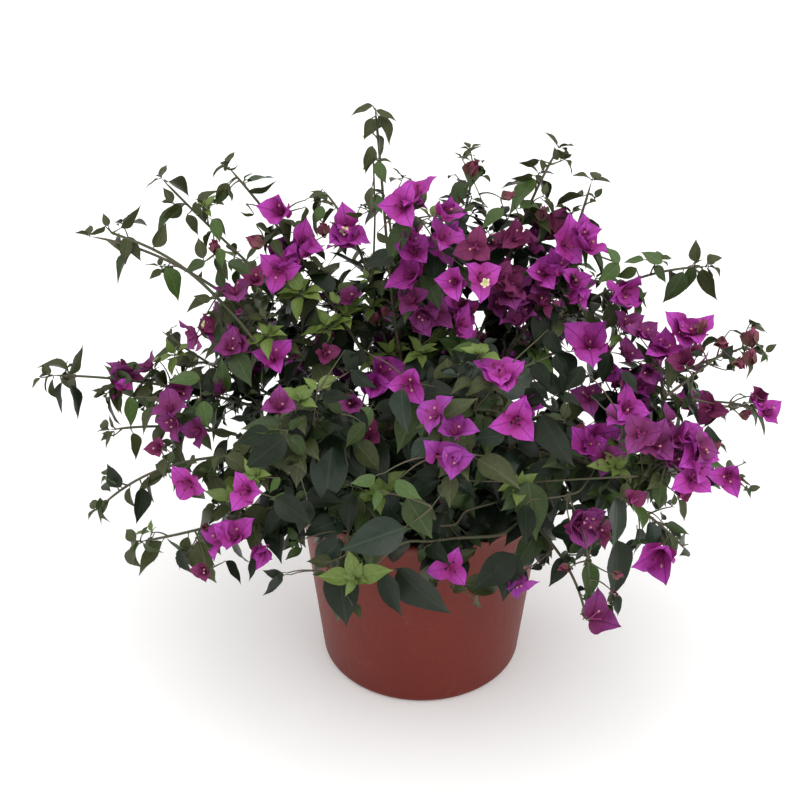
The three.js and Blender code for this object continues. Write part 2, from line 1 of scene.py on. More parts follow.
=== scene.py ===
import math
import bpy
import numpy as np
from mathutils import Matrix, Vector


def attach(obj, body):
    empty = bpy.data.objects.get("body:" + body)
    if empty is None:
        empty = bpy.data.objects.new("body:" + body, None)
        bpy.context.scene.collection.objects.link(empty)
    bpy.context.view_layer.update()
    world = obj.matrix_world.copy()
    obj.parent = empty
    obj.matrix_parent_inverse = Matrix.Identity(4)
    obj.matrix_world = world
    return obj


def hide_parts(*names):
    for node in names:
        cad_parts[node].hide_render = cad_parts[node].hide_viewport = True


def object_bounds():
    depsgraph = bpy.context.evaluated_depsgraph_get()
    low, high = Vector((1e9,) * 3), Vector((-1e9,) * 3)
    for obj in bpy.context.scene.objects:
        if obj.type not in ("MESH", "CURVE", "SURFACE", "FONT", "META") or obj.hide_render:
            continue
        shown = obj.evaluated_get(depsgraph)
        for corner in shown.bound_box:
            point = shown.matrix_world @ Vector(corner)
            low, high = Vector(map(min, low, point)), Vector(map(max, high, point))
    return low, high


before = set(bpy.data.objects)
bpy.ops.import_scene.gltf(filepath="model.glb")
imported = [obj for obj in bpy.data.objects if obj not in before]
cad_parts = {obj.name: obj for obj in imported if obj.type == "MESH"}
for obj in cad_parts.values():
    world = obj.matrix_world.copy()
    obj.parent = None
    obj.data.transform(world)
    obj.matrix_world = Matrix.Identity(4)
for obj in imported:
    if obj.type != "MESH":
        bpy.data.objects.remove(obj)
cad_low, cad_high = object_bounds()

# Potted bougainvillea: a young patio shrub in flower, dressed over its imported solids.
# Sizes are in millimetres unless they say otherwise, and MM turns them into metres.
MM = 0.001

# Studio: a plain pale floor under broad soft light, with the brighter side to the viewer's right.
# The camera stands 1.6 m from the crown and looks 31.5 degrees down on it. The view is in metres.
VIEW_DISTANCE = 1.6
VIEW_DOWN = math.radians(31.5)
VIEW_TARGET = Vector((-0.0229, 0.0, 0.307))
FLOOR_REACH = 12000
FLOOR_GLOW = 0.12
SKY_STRENGTH = 0.78
LIGHTS = [
    # the direction that it comes from, how wide it looks in degrees, watts per square metre
    ((0.35, -0.4, 1.0), 70, 1.42),
    ((-0.8, 0.1, 1.0), 80, 0.55),
]


def linear(colour):
    """An sRGB hex colour as linear red, green, blue and alpha."""
    parts = [int(colour[i:i + 2], 16) / 255 for i in (0, 2, 4)]
    return [p / 12.92 if p <= 0.04045 else ((p + 0.055) / 1.055) ** 2.4 for p in parts] + [1.0]


def add(tree, kind, inputs=(), output=0, **settings):
    """Adds a shader node with its settings, and with values or links for its sockets, which
    inputs gives by name or in order. Returns one of its outputs."""
    made = tree.nodes.new("ShaderNode" + kind)
    for name, value in settings.items():
        setattr(made, name, value)
    for name, value in inputs.items() if isinstance(inputs, dict) else enumerate(inputs):
        if isinstance(value, bpy.types.NodeSocket):
            tree.links.new(value, made.inputs[name])
        else:
            made.inputs[name].default_value = value
    return made.outputs[output]


def material(name, **sockets):
    """A new material with these values on its shader's own sockets, its node tree and shader."""
    made = bpy.data.materials.new(name)
    made.use_nodes = True
    shader = made.node_tree.nodes["Principled BSDF"]
    for socket, value in sockets.items():
        shader.inputs[socket.replace("_", " ")].default_value = value
    return made, made.node_tree, shader


def link(shader, **outputs):
    for socket, output in outputs.items():
        shader.id_data.links.new(output, shader.inputs[socket.replace("_", " ")])


def mesh_piece(name, shape, skin, smooth=True):
    """A piece from its shape: points in millimetres, quads or triangles, and maybe a flat map."""
    points, faces, *flat_map = shape
    points = np.asarray(points, dtype=np.float64) * MM
    faces = np.asarray(faces, dtype=np.int32)
    mesh = bpy.data.meshes.new(name)
    mesh.vertices.add(len(points))
    mesh.vertices.foreach_set("co", points.ravel())
    mesh.loops.add(faces.size)
    mesh.loops.foreach_set("vertex_index", faces.ravel())
    mesh.polygons.add(len(faces))
    mesh.polygons.foreach_set("loop_start", np.arange(len(faces)) * faces.shape[1])
    mesh.polygons.foreach_set("loop_total", np.full(len(faces), faces.shape[1]))
    mesh.polygons.foreach_set("use_smooth", np.full(len(faces), smooth))
    mesh.update(calc_edges=True)
    mesh.validate()
    mesh.materials.append(skin)
    for spots in flat_map:
        mesh.uv_layers.new(name="OFBake").data.foreach_set("uv", spots.ravel())
    piece = bpy.data.objects.new(name, mesh)
    bpy.context.scene.collection.objects.link(piece)
    return piece


camera = bpy.data.objects.new("camera", bpy.data.cameras.new("camera"))
camera.data.lens = 72
camera.data.sensor_width = 36
back = Vector((0, -math.cos(VIEW_DOWN), math.sin(VIEW_DOWN)))
camera.location = VIEW_TARGET + back * VIEW_DISTANCE
camera.rotation_euler = back.to_track_quat("Z", "Y").to_euler()
bpy.context.scene.collection.objects.link(camera)
bpy.context.scene.camera = camera

for direction, width, strength in LIGHTS:
    lamp = bpy.data.lights.new("softbox", "SUN")
    lamp.angle = math.radians(width)
    lamp.energy = strength
    softbox = bpy.data.objects.new("softbox", lamp)
    softbox.rotation_euler = Vector(direction).to_track_quat("Z", "Y").to_euler()
    bpy.context.scene.collection.objects.link(softbox)

world = bpy.data.worlds.new("studio")
world.use_nodes = True
world.node_tree.nodes["Background"].inputs["Color"].default_value = linear("F8F8F6")
world.node_tree.nodes["Background"].inputs["Strength"].default_value = SKY_STRENGTH
bpy.context.scene.world = world
bpy.context.scene.view_settings.view_transform = "Standard"

# Painted floor: matte and nearly white, with a faint glow that keeps the shadow on it soft.
painted_floor, tree, shader = material(
    "painted_floor", Base_Color=linear("FBFBFB"), Roughness=0.9,
    Emission_Color=linear("FFFFFF"), Emission_Strength=FLOOR_GLOW)
corners = np.array([[-1, -1, 0], [1, -1, 0], [1, 1, 0], [-1, 1, 0]])
floor = mesh_piece("floor", (corners * FLOOR_REACH, [[0, 1, 2, 3]]), painted_floor)

# Pot: the usual nursery pot, moulded in one piece from terracotta-coloured polypropylene, with a
# rounded heel, a flat underside and a narrow rim that is turned over. It stands on the floor.
POT_HEIGHT = 220
POT_TOP_RADIUS = 129
POT_BASE_RADIUS = 105
POT_WALL = 2.5
POT_HEEL = 8
POT_SIDES = 144
RIM_HEIGHT = 9
RIM_OVERHANG = 2
UNDER_RIM = POT_HEIGHT - RIM_HEIGHT
ON_AXIS = 0.01


def pot_radius(height):
    return POT_BASE_RADIUS + (POT_TOP_RADIUS - POT_BASE_RADIUS) * height / POT_HEIGHT


def ring_quads(rings, sides):
    """Quads between closed rings of points that follow one another."""
    step, side = np.meshgrid(np.arange(rings - 1), np.arange(sides), indexing="ij")
    after = (side + 1) % sides
    return np.stack([step * sides + side, step * sides + after,
                     (step + 1) * sides + after, (step + 1) * sides + side], axis=-1).reshape(-1, 4)


def turned(profile, sides):
    """The shape of a profile of (radius, height) turned round the pot's axis."""
    profile = np.asarray(profile, dtype=float)
    turn = np.arange(sides) / sides * 2 * math.pi
    ring = np.stack([np.cos(turn), np.sin(turn), np.zeros(sides)], axis=1)
    points = profile[:, None, :1] * ring[None] + profile[:, None, 1:] * np.array([0, 0, 1.0])
    return points.reshape(-1, 3), ring_quads(len(profile), sides)


under = [(ON_AXIS, 0), (60, 0)]
heel = [(pot_radius(POT_HEEL) - POT_HEEL * (1 - math.sin(a)), POT_HEEL * (1 - math.cos(a)))
        for a in np.linspace(0, math.pi / 2, 9)]
wall = [(pot_radius(h), h) for h in np.linspace(POT_HEEL, UNDER_RIM - 3, 24)[1:]]
rim = [
    (pot_radius(UNDER_RIM), UNDER_RIM - 1.5),
    (pot_radius(UNDER_RIM) + RIM_OVERHANG * 0.5, UNDER_RIM - 0.4),
    (pot_radius(UNDER_RIM) + RIM_OVERHANG, UNDER_RIM + 1.0),
    (POT_TOP_RADIUS + RIM_OVERHANG, POT_HEIGHT - 1.4),
    (POT_TOP_RADIUS + RIM_OVERHANG * 0.6, POT_HEIGHT - 0.3),
    (POT_TOP_RADIUS, POT_HEIGHT),
    (POT_TOP_RADIUS - POT_WALL * 0.7, POT_HEIGHT - 0.2),
    (POT_TOP_RADIUS - POT_WALL, POT_HEIGHT - 1.2),
]
inside = [(pot_radius(POT_HEEL) - POT_WALL, POT_HEEL), (POT_BASE_RADIUS - POT_HEEL, POT_WALL),
          (ON_AXIS, POT_WALL)]

# Moulded polypropylene: an even satin skin. The eye sees faint rings from the mould, a slow
# change of shade in the pigment, a little dust and fine scuffs that break the highlight.
moulded_polypropylene, tree, shader = material(
    "moulded_polypropylene", Roughness=0.45, IOR=1.49, Specular_IOR_Level=0.3)
place = add(tree, "TexCoord", output="Object")
shade = add(tree, "TexNoise", {"Vector": place, "Scale": 14, "Detail": 3})
scuff_place = add(tree, "Mapping", {"Vector": place, "Scale": (1, 1, 0.12)})
scuff = add(tree, "TexNoise", {
    "Vector": scuff_place, "Scale": 420, "Detail": 4, "Roughness": 0.7})
dust = add(tree, "TexNoise", {"Vector": place, "Scale": 55, "Detail": 5, "Roughness": 0.75})
pigment = add(tree, "Mix", {0: shade, 6: linear("5F1607"), 7: linear("701C0A")}, 2,
              data_type="RGBA")
dusty = add(tree, "MapRange", [dust, 0.6, 0.8, 0, 0.12])
colour = add(tree, "Mix", {0: dusty, 6: pigment, 7: linear("A98B7C")}, 2, data_type="RGBA")
gloss = add(tree, "MapRange", [scuff, 0.3, 0.7, 0.4, 0.54])
rings = add(tree, "TexWave", {"Vector": place, "Scale": 55, "Distortion": 0.4}, "Fac",
            bands_direction="Z")
grain = add(tree, "Math", [rings, scuff], operation="ADD")
relief = add(tree, "Bump", {"Height": grain, "Strength": 0.1, "Distance": 0.0003})
link(shader, Base_Color=colour, Roughness=gloss, Normal=relief)

pot = mesh_piece("moulded_pot", turned(under + heel + wall + rim + inside, POT_SIDES),
                 moulded_polypropylene)
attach(pot, "root")
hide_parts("pot")

# Potting soil: damp dark peat with bark crumbs and a few white grains of perlite. It fills the
# pot to just under the rim and is heaped a little round the trunk.
SOIL_HEIGHT = 196
SOIL_CROWN = 3
SOIL_FLAT_RADIUS = 32
SOIL_SIDES = 120
SOIL_UNEVENNESS = 1.1
SOIL_SETTLED = 1.2
SOIL_CRUMBS = 900
CRUMB_SIZES = (0.8, 2.6)
CRUMB_SHAPES = (0.6, 1.3)
CRUMB_LIFT = 0.8
CRUMB_ROOM = 4
SEAT_GAP = 0.3

soil_radius = pot_radius(SOIL_HEIGHT) - POT_WALL - 1.5 * SEAT_GAP
soil_profile = [
    (ON_AXIS, POT_WALL + SEAT_GAP), (POT_BASE_RADIUS - POT_HEEL - SEAT_GAP, POT_WALL + SEAT_GAP),
    (pot_radius(POT_HEEL) - POT_WALL - 1.5 * SEAT_GAP, POT_HEEL + SEAT_GAP)]
for reach in np.maximum(soil_radius * np.linspace(1, 0, 34), ON_AXIS):
    fall = max(reach - SOIL_FLAT_RADIUS, 0) / (soil_radius - SOIL_FLAT_RADIUS)
    soil_profile.append((reach, SOIL_HEIGHT + SOIL_CROWN * (1 - fall) - SOIL_SETTLED))
points, quads = turned(soil_profile, SOIL_SIDES)
draws = np.random.default_rng(3101)
top = points[:, 2] > SOIL_HEIGHT - 2
points[top, 2] += draws.uniform(-SOIL_UNEVENNESS, SOIL_UNEVENNESS, top.sum())
crumb_at = np.sqrt(draws.uniform(0.02, 1, SOIL_CRUMBS)) * (soil_radius - CRUMB_ROOM)
crumb_turn = draws.uniform(0, 2 * math.pi, SOIL_CRUMBS)
crumb_size = draws.uniform(*CRUMB_SIZES, SOIL_CRUMBS)
corners = np.array([[1, 0, 0], [-1, 0, 0], [0, 1, 0], [0, -1, 0], [0, 0, 1], [0, 0, -1.0]])
corner_faces = np.array([[0, 2, 4], [2, 1, 4], [1, 3, 4], [3, 0, 4],
                         [2, 0, 5], [1, 2, 5], [3, 1, 5], [0, 3, 5]])
crumbs = corners * crumb_size[:, None, None] * draws.uniform(*CRUMB_SHAPES, (SOIL_CRUMBS, 6, 1))
crumbs += np.stack([crumb_at * np.cos(crumb_turn), crumb_at * np.sin(crumb_turn),
                    np.full(SOIL_CRUMBS, SOIL_HEIGHT + CRUMB_LIFT)], axis=1)[:, None]
crumb_faces = corner_faces + 6 * np.arange(SOIL_CRUMBS)[:, None, None]

# Damp peat: matte and nearly black in the hollows, browner on the crumbs, where it has dried.
damp_peat, tree, shader = material("damp_peat", Roughness=0.95, IOR=1.4)
place = add(tree, "TexCoord", output="Object")
crumble = add(tree, "TexNoise", {"Vector": place, "Scale": 260, "Detail": 6})
grains = add(tree, "TexVoronoi", {"Vector": place, "Scale": 190}).node.outputs
peat = add(tree, "Mix", {0: crumble, 6: linear("2A1F19"), 7: linear("4A382C")}, 2, data_type="RGBA")
is_perlite = add(tree, "MapRange", [grains["Distance"], 0.13, 0.09])
is_rare = add(tree, "Math", [grains["Color"], 0.86], operation="GREATER_THAN")
speck = add(tree, "Math", [is_perlite, is_rare], operation="MULTIPLY")
colour = add(tree, "Mix", {0: speck, 6: peat, 7: linear("C9C3B6")}, 2, data_type="RGBA")
relief = add(tree, "Bump", {"Height": crumble, "Strength": 0.7, "Distance": 0.002})
link(shader, Base_Color=colour, Normal=relief)

soil = mesh_piece("peat", (points, quads), damp_peat)
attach(soil, "root")
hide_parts("potting_soil")
soil_crumbs = mesh_piece("peat_crumbs", (crumbs.reshape(-1, 3), crumb_faces.reshape(-1, 3)),
                         damp_peat, smooth=False)
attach(soil_crumbs, "root")

# Trunk: a short woody stem with a root flare, leaning a little, that stands on the soil. Its young
# bark is thin, grey-brown and split into shallow lengthwise furrows.
TRUNK_HEIGHT = 72
TRUNK_FLARE_RADIUS = 19
TRUNK_RADIUS = 12
TRUNK_TOP_RADIUS = 9.5
TRUNK_FLARE_FALL = 7
TRUNK_STEPS = 40
TRUNK_SIDES = 66
TRUNK_LEAN = np.array([-5.0, 4.0, 0.0])
TRUNK_FOOT = np.array([0, 0, SOIL_HEIGHT + SOIL_CROWN + SEAT_GAP])
FURROWS = 11
FURROW_DEPTH = 0.07
UP = np.array([0.0, 0.0, 1.0])


def bezier(corners, shares):
    """Points of a cubic curve through its four control points."""
    s = np.asarray(shares)[:, None]
    a, b, c, d = corners
    return (1 - s) ** 3 * a + 3 * (1 - s) ** 2 * s * b + 3 * (1 - s) * s ** 2 * c + s ** 3 * d


def unit(vectors):
    return vectors / np.linalg.norm(vectors, axis=-1, keepdims=True)


def tubes(paths, radii, sides, relief=None):
    """The shape of round tubes: paths is tubes x steps x 3, and radii tubes x steps."""
    along = unit(np.gradient(paths, axis=1))
    middle = along.mean(axis=1)
    away = np.where(np.abs(middle[:, 2:]) < 0.8 * np.linalg.norm(middle, axis=1, keepdims=True),
                    UP, np.array([1.0, 0, 0]))
    across = unit(np.cross(along, away[:, None]))
    above = np.cross(across, along)
    turn = np.arange(sides) / sides * 2 * math.pi
    ring = across[:, :, None] * np.cos(turn)[:, None] + above[:, :, None] * np.sin(turn)[:, None]
    reach = radii[:, :, None] * (1 if relief is None else relief(turn))
    points = paths[:, :, None] + ring * np.broadcast_to(reach, ring.shape[:3])[..., None]
    count, steps = radii.shape
    quads = ring_quads(steps, sides) + (np.arange(count) * steps * sides)[:, None, None]
    return points.reshape(-1, 3), quads.reshape(-1, 4)


trunk_corners = np.array([
    TRUNK_FOOT,
    TRUNK_FOOT + UP * TRUNK_HEIGHT * 0.35,
    TRUNK_FOOT + UP * TRUNK_HEIGHT * 0.7 + TRUNK_LEAN * 0.7,
    TRUNK_FOOT + UP * TRUNK_HEIGHT + TRUNK_LEAN,
])
trunk_shares = np.linspace(0, 1, TRUNK_STEPS)
trunk_radii = (TRUNK_RADIUS + (TRUNK_TOP_RADIUS - TRUNK_RADIUS) * trunk_shares
               + (TRUNK_FLARE_RADIUS - TRUNK_RADIUS) * np.exp(-trunk_shares * TRUNK_FLARE_FALL))
trunk_radii[-3:] *= np.array([0.97, 0.8, 0.05])
trunk_path = bezier(trunk_corners, np.append(trunk_shares[:-1], trunk_shares[-2] + 0.004))


def furrows(turn):
    wander = 0.7 * np.sin(trunk_shares * 5)[:, None]
    ridge = np.sin(FURROWS * turn + wander) + 0.5 * np.sin(2 * FURROWS * turn + 2.3 - 3 * wander)
    return (1 - FURROW_DEPTH * (0.5 - 0.5 * ridge))[None]


# Young bark: thin, dry and matte. Grey-brown plates lie over darker furrows, with pale lenticels.
young_bark, tree, shader = material("young_bark", Roughness=0.85, IOR=1.45)
place = add(tree, "TexCoord", output="Object")
fibre_place = add(tree, "Mapping", {"Vector": place, "Scale": (1, 1, 0.22)})
fibre = add(tree, "TexNoise", {
    "Vector": fibre_place, "Scale": 480, "Detail": 6, "Roughness": 0.65})
plate = add(tree, "MapRange", [fibre, 0.36, 0.6])
bark = add(tree, "Mix", {0: plate, 6: linear("463A2C"), 7: linear("74644F")}, 2, data_type="RGBA")
dots = add(tree, "TexVoronoi", {"Vector": place, "Scale": 330})
dot = add(tree, "MapRange", [dots, 0.2, 0.1, 0, 0.7])
colour = add(tree, "Mix", {0: dot, 6: bark, 7: linear("A79A84")}, 2, data_type="RGBA")
relief = add(tree, "Bump", {"Height": fibre, "Strength": 0.8, "Distance": 0.0012})
link(shader, Base_Color=colour, Normal=relief)

trunk = mesh_piece("trunk_bark", tubes(
    trunk_path[None], trunk_radii[None], TRUNK_SIDES, furrows), young_bark)
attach(trunk, "root")
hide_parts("trunk")

# Boughs: the bare lower stretch of each arching cane, a tapering woody limb. They spring from
# the trunk at a narrow angle, and their bark is the trunk's, smoother and thinner.
BOUGH_STEPS = 14
BOUGH_SIDES = 10
COLLAR = 0.5
COLLAR_FALL = 60
CANE_TIP_RADIUS = 1.4
CANE_TAPER = 0.62
CANE_HANDLE = 0.38

# Each row is one cane as it grew. azimuth is the way it points, from +X towards +Y, reach and
# tip are how far out and how high it ends, rise and dip its slope at the foot and the tip, swing
# how far its foot is turned, foot the height where it leaves the trunk, bare its bare share,
# girth its radius at the foot, spread its longest twig, twigs how many, bloom the share of them
# in flower, leaf its leaf size, 1 for full-grown, and airy from which share of its length it is
# few-leaved, against the sky.
CANE_COLUMNS = ("name", "azimuth", "reach", "tip", "rise", "dip", "swing", "foot", "bare", "girth",
                "spread", "twigs", "bloom", "leaf", "airy")
CANES = [dict(zip(CANE_COLUMNS, row)) for row in [
    # Long whips to the left, few-leaved towards their tips
    ("left_long", 178, 374, 328, 12, 3, -12, 232, 0.3, 3, 66, 6, 0.6, 0.75, 0.7),
    ("left_mid", 193, 310, 316, 12, -5, 10, 226, 0.3, 2.8, 62, 5, 0.6, 0.8, 0.75),
    ("left_arching", 201, 330, 260, 24, -42, 12, 213, 0.34, 2.6, 60, 4, 0.6, 0.8, 0.5),
    ("left_low", 210, 310, 246, 22, 4, 18, 228, 0.22, 2.8, 74, 6, 0.5, 1, 0.6),
    ("left_rear", 166, 276, 350, 22, 36, 2, 238, 0.2, 2.6, 76, 6, 0.5, 0.95, 0.75),
    ("upper_left_long", 175, 322, 474, 40, 0, 26, 250, 0.34, 3.4, 56, 4, 0.3, 0.75, 0.35),
    ("upper_left_curved", 161, 272, 508, 40, 48, -20, 250, 0.34, 2.8, 66, 5, 0.5, 0.8, 0.4),
    ("upper_left_straight", 168, 190, 542, 62, 46, 16, 254, 0.3, 2.8, 72, 6, 0.6, 0.8, 0.5),
    # The crown's top
    ("top_whip", 156, 50, 608, 76, 84, 10, 260, 0.36, 2.4, 30, 3, 0, 0.7, 0.1),
    ("top_left", 132, 150, 486, 58, 20, 8, 245, 0.24, 2.4, 84, 5, 0.6, 0.8, 0.8),
    ("top_blossom", 250, 34, 530, 68, 64, 10, 258, 0, 2.6, 88, 8, 0.6, 1.2, 1),
    ("top_bud", 52, 80, 534, 68, 72, 4, 264, 0.2, 2.4, 80, 6, 0.6, 0.9, 1),
    ("upper_right_long", 34, 158, 540, 52, 46, -20, 256, 0.3, 2.8, 72, 6, 0.7, 0.9, 0.75),
    ("upper_right_short", 12, 162, 530, 46, 78, -6, 246, 0.16, 2.8, 80, 7, 0.7, 1, 0.75),
    # The right-hand side, heavy with bracts
    ("right_top", 14, 294, 420, 44, -4, 8, 234, 0.34, 2.8, 70, 5, 0.6, 0.85, 0.5),
    ("right_bud", 3, 328, 362, 16, 22, -2, 232, 0.3, 3, 72, 7, 0.8, 0.8, 1),
    ("right_thin", 10, 346, 264, 24, -12, 8, 222, 0.34, 2.6, 66, 6, 0.8, 0.8, 1),
    ("right_mid", 345, 318, 262, 24, -30, -14, 224, 0.3, 2.8, 72, 6, 0.8, 0.9, 1),
    ("right_low", 328, 292, 234, 30, -40, -4, 230, 0.18, 2.8, 74, 6, 0.6, 1.05, 1),
    ("right_front", 308, 246, 184, 38, -76, -3, 218, 0.3, 2.6, 50, 5, 0.6, 0.85, 1),
    ("front_right", 312, 286, 356, 26, 16, 10, 246, 0.16, 2.8, 74, 6, 0.4, 1, 1),
    # Leafy masses in front, which arch over the rim
    ("front_low", 278, 182, 206, 48, -66, 6, 236, 0, 2.6, 74, 7, 0.3, 1.15, 1),
    ("front_left_low", 244, 196, 212, 46, -62, -4, 232, 0, 2.6, 76, 7, 0.25, 1.15, 1),
    ("front_dome", 284, 176, 400, 56, 18, -8, 256, 0, 2.6, 90, 8, 0.4, 1.3, 1),
    ("front_left_dome", 232, 216, 372, 42, 14, 6, 246, 0, 2.8, 88, 8, 0.4, 1.25, 1),
    # The far side, filled out like the near one
    ("rear_left_low", 136, 284, 268, 30, -30, 8, 230, 0.24, 2.8, 82, 6, 0.6, 1.1, 1),
    ("rear_low", 96, 262, 232, 38, -48, -6, 232, 0.24, 2.8, 82, 6, 0.5, 1.15, 1),
    ("rear_right_low", 52, 300, 282, 28, -22, 6, 226, 0.24, 2.8, 82, 6, 0.6, 1.1, 1),
    ("rear_dome", 100, 210, 432, 52, 16, 10, 250, 0, 2.8, 90, 8, 0.6, 1.1, 1),
]]


def heading(azimuth, slope):
    a, s = math.radians(azimuth), math.radians(slope)
    return np.array([math.cos(a) * math.cos(s), math.sin(a) * math.cos(s), math.sin(s)])


def cane_corners(cane):
    """The four control points of a cane, from the trunk's axis to its tip."""
    start = bezier(trunk_corners, [(cane["foot"] - TRUNK_FOOT[2]) / TRUNK_HEIGHT])[0]
    tip = heading(cane["azimuth"], 0) * cane["reach"] + UP * cane["tip"]
    handle = np.linalg.norm(tip - start) * CANE_HANDLE
    return np.array([
        start,
        start + heading(cane["azimuth"] + cane["swing"], cane["rise"]) * handle,
        tip - heading(cane["azimuth"] - cane["swing"] / 2, cane["dip"]) * handle,
        tip,
    ])


def cane_radius(cane, shares):
    return cane["girth"] + (CANE_TIP_RADIUS - cane["girth"]) * np.asarray(shares) ** CANE_TAPER


bough_paths, bough_radii, bough_nodes = [], [], []
for cane in CANES:
    if cane["bare"]:
        shares = np.linspace(0, cane["bare"], BOUGH_STEPS)
        bough_paths.append(bezier(cane_corners(cane), shares))
        bough_radii.append(cane_radius(cane, shares) * (1 + COLLAR * np.exp(-shares * COLLAR_FALL)))
        bough_nodes.append("bough_" + cane["name"])
boughs = mesh_piece("boughs_bark", tubes(
    np.array(bough_paths), np.array(bough_radii), BOUGH_SIDES), young_bark)
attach(boughs, "root")
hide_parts(*bough_nodes)

# Leafy stems: each cane goes on from its bough to its tip, and side twigs grow from it by the
# same rule as on the solids, turned by the golden angle. Finer twigs fill the room between, and
# flowering sprigs stand where the photograph shows them. All have a green-brown rind.
STEM_STEPS = 49
STEM_THINNING = 0.85
TWIG_LEAN = math.radians(52)
TWIG_LIFT = 0.16
TWIG_TURN_RANGE = 0.8
TWIG_PLACES = (0.25, 0.75)
TWIG_LENGTHS = (0.8, 1.2)
TWIG_SHRINK = 0.4
TWIG_BLOOM_LENGTH = 0.6
TWIG_SIZES = (1, 0.75, 0.55, 0.4, 0.28)
TWIG_BOW = 0.07
TWIG_RADII = (0.9, 0.5)
FINE_TWIG_EVERY = 15
FINE_TWIG_LENGTHS = (0.3, 0.75)
AIRY_TWIG_SIZE = 0.55
SKY_SIZES = (1, 0.7, 0.45, 0.2)
SPACE_MARGIN = 2.4
GOLDEN_ANGLE = math.radians(137.508)
FIRST_SEED = 4100
FIRST_FINE_SEED = 9100
SEED_STEP = 97
# The photograph, in pixels, and how the parts that stand out in it are placed.
FOCAL_LENGTH = 1600
FRAME_MIDDLE = 400
SPRIG_LIFT = 20
SPRIG_DROP = 0.16
SPRIG_REACH = 60
SPRIG_ROOM = 0.45
SPRIG_NEARNESS = 3
SPRIG_RISE = 8
TOO_FAR = 1000
SHOWN_REACH = 12
FAR_SIDE = 60
CROWN_TOP_PIXEL = 300
RIGHT_SIDE_PIXEL = 690
SHOWN_STEPS = 33
SHOWN_TAPER = (1.1, 0.7)
SHOWN_STALK_START = 0.85
LIFTS = (8, 0, -8, -16, -32)
SHOWN = {
    # where each sprig shows in the photograph, in pixels, and how wide it is, in millimetres
    "fresh_bracts": [
        (284, 205, 54), (308, 250, 42), (278, 265, 40), (275, 355, 36), (352, 240, 48),
        (405, 200, 46), (441, 210, 36), (440, 235, 32), (415, 248, 38), (416, 268, 62),
        (457, 276, 36), (479, 273, 34), (562, 236, 52), (585, 243, 44), (545, 268, 44),
        (570, 290, 40), (618, 295, 44), (680, 325, 44), (665, 345, 40), (589, 338, 66),
        (601, 367, 32), (764, 408, 38), (622, 416, 38), (586, 442, 42), (680, 432, 32),
        (692, 458, 40), (690, 474, 32), (728, 470, 36), (662, 540, 60), (372, 378, 46),
        (410, 378, 32), (498, 370, 38), (515, 413, 44), (432, 503, 24), (124, 383, 34),
        (190, 476, 36), (250, 485, 34), (226, 530, 42), (262, 540, 36), (450, 562, 34),
    ],
    "violet_bracts": [
        (438, 411, 36), (457, 430, 36), (437, 450, 40), (516, 570, 32),
    ],
    # the darker magenta bracts: fresh colour painted darker, painted shade for the crown's shadow
    "full_bracts": [
        (236, 290, 36), (243, 335, 36), (515, 290, 46), (518, 312, 42), (420, 312, 42),
        (350, 297, 26), (626, 322, 30), (625, 352, 32), (650, 350, 34), (573, 375, 36),
        (655, 440, 36), (570, 515, 42), (590, 610, 52), (352, 400, 30), (197, 328, 36),
        (150, 365, 32), (181, 385, 36), (172, 406, 38), (222, 390, 28), (200, 425, 30),
        (230, 345, 28), (530, 245, 30), (640, 385, 28), (590, 395, 28), (606, 352, 34),
        (640, 332, 34), (612, 378, 30), (672, 438, 30), (640, 430, 34), (697, 442, 28),
        (668, 458, 34), (605, 452, 30), (648, 366, 26), (548, 285, 32), (495, 300, 30),
        (280, 405, 26),
    ],
    "old_bracts": [
        (214, 325, 28), (475, 242, 31), (513, 235, 38), (506, 270, 28), (256, 278, 24),
        (685, 360, 26), (712, 405, 26), (368, 430, 22), (460, 305, 28), (680, 495, 18),
        (757, 393, 22), (598, 528, 18), (631, 500, 18), (160, 445, 16), (207, 568, 16),
        (540, 300, 26), (325, 350, 22),
    ],
    "folded_buds": [
        (215, 250, 22), (265, 240, 24), (325, 232, 22), (467, 170, 26), (501, 195, 20),
        (540, 218, 20), (390, 309, 20), (374, 322, 20), (698, 330, 20), (716, 338, 24),
        (750, 342, 30), (750, 362, 26), (740, 413, 20), (713, 447, 14), (570, 565, 18),
        (613, 590, 16), (612, 572, 14), (388, 426, 16), (207, 525, 14), (735, 357, 20),
    ],
    "bright_leaves": [
        (378, 485, 50), (390, 347, 48), (303, 285, 54), (257, 470, 40), (357, 572, 46),
        (615, 462, 42), (232, 492, 44), (450, 325, 34), (268, 330, 36), (175, 350, 34),
        (620, 330, 30), (205, 205, 28), (345, 310, 34), (520, 480, 36), (330, 322, 36),
        (422, 348, 34), (372, 302, 34), (300, 395, 34), (480, 350, 34),
    ],
}
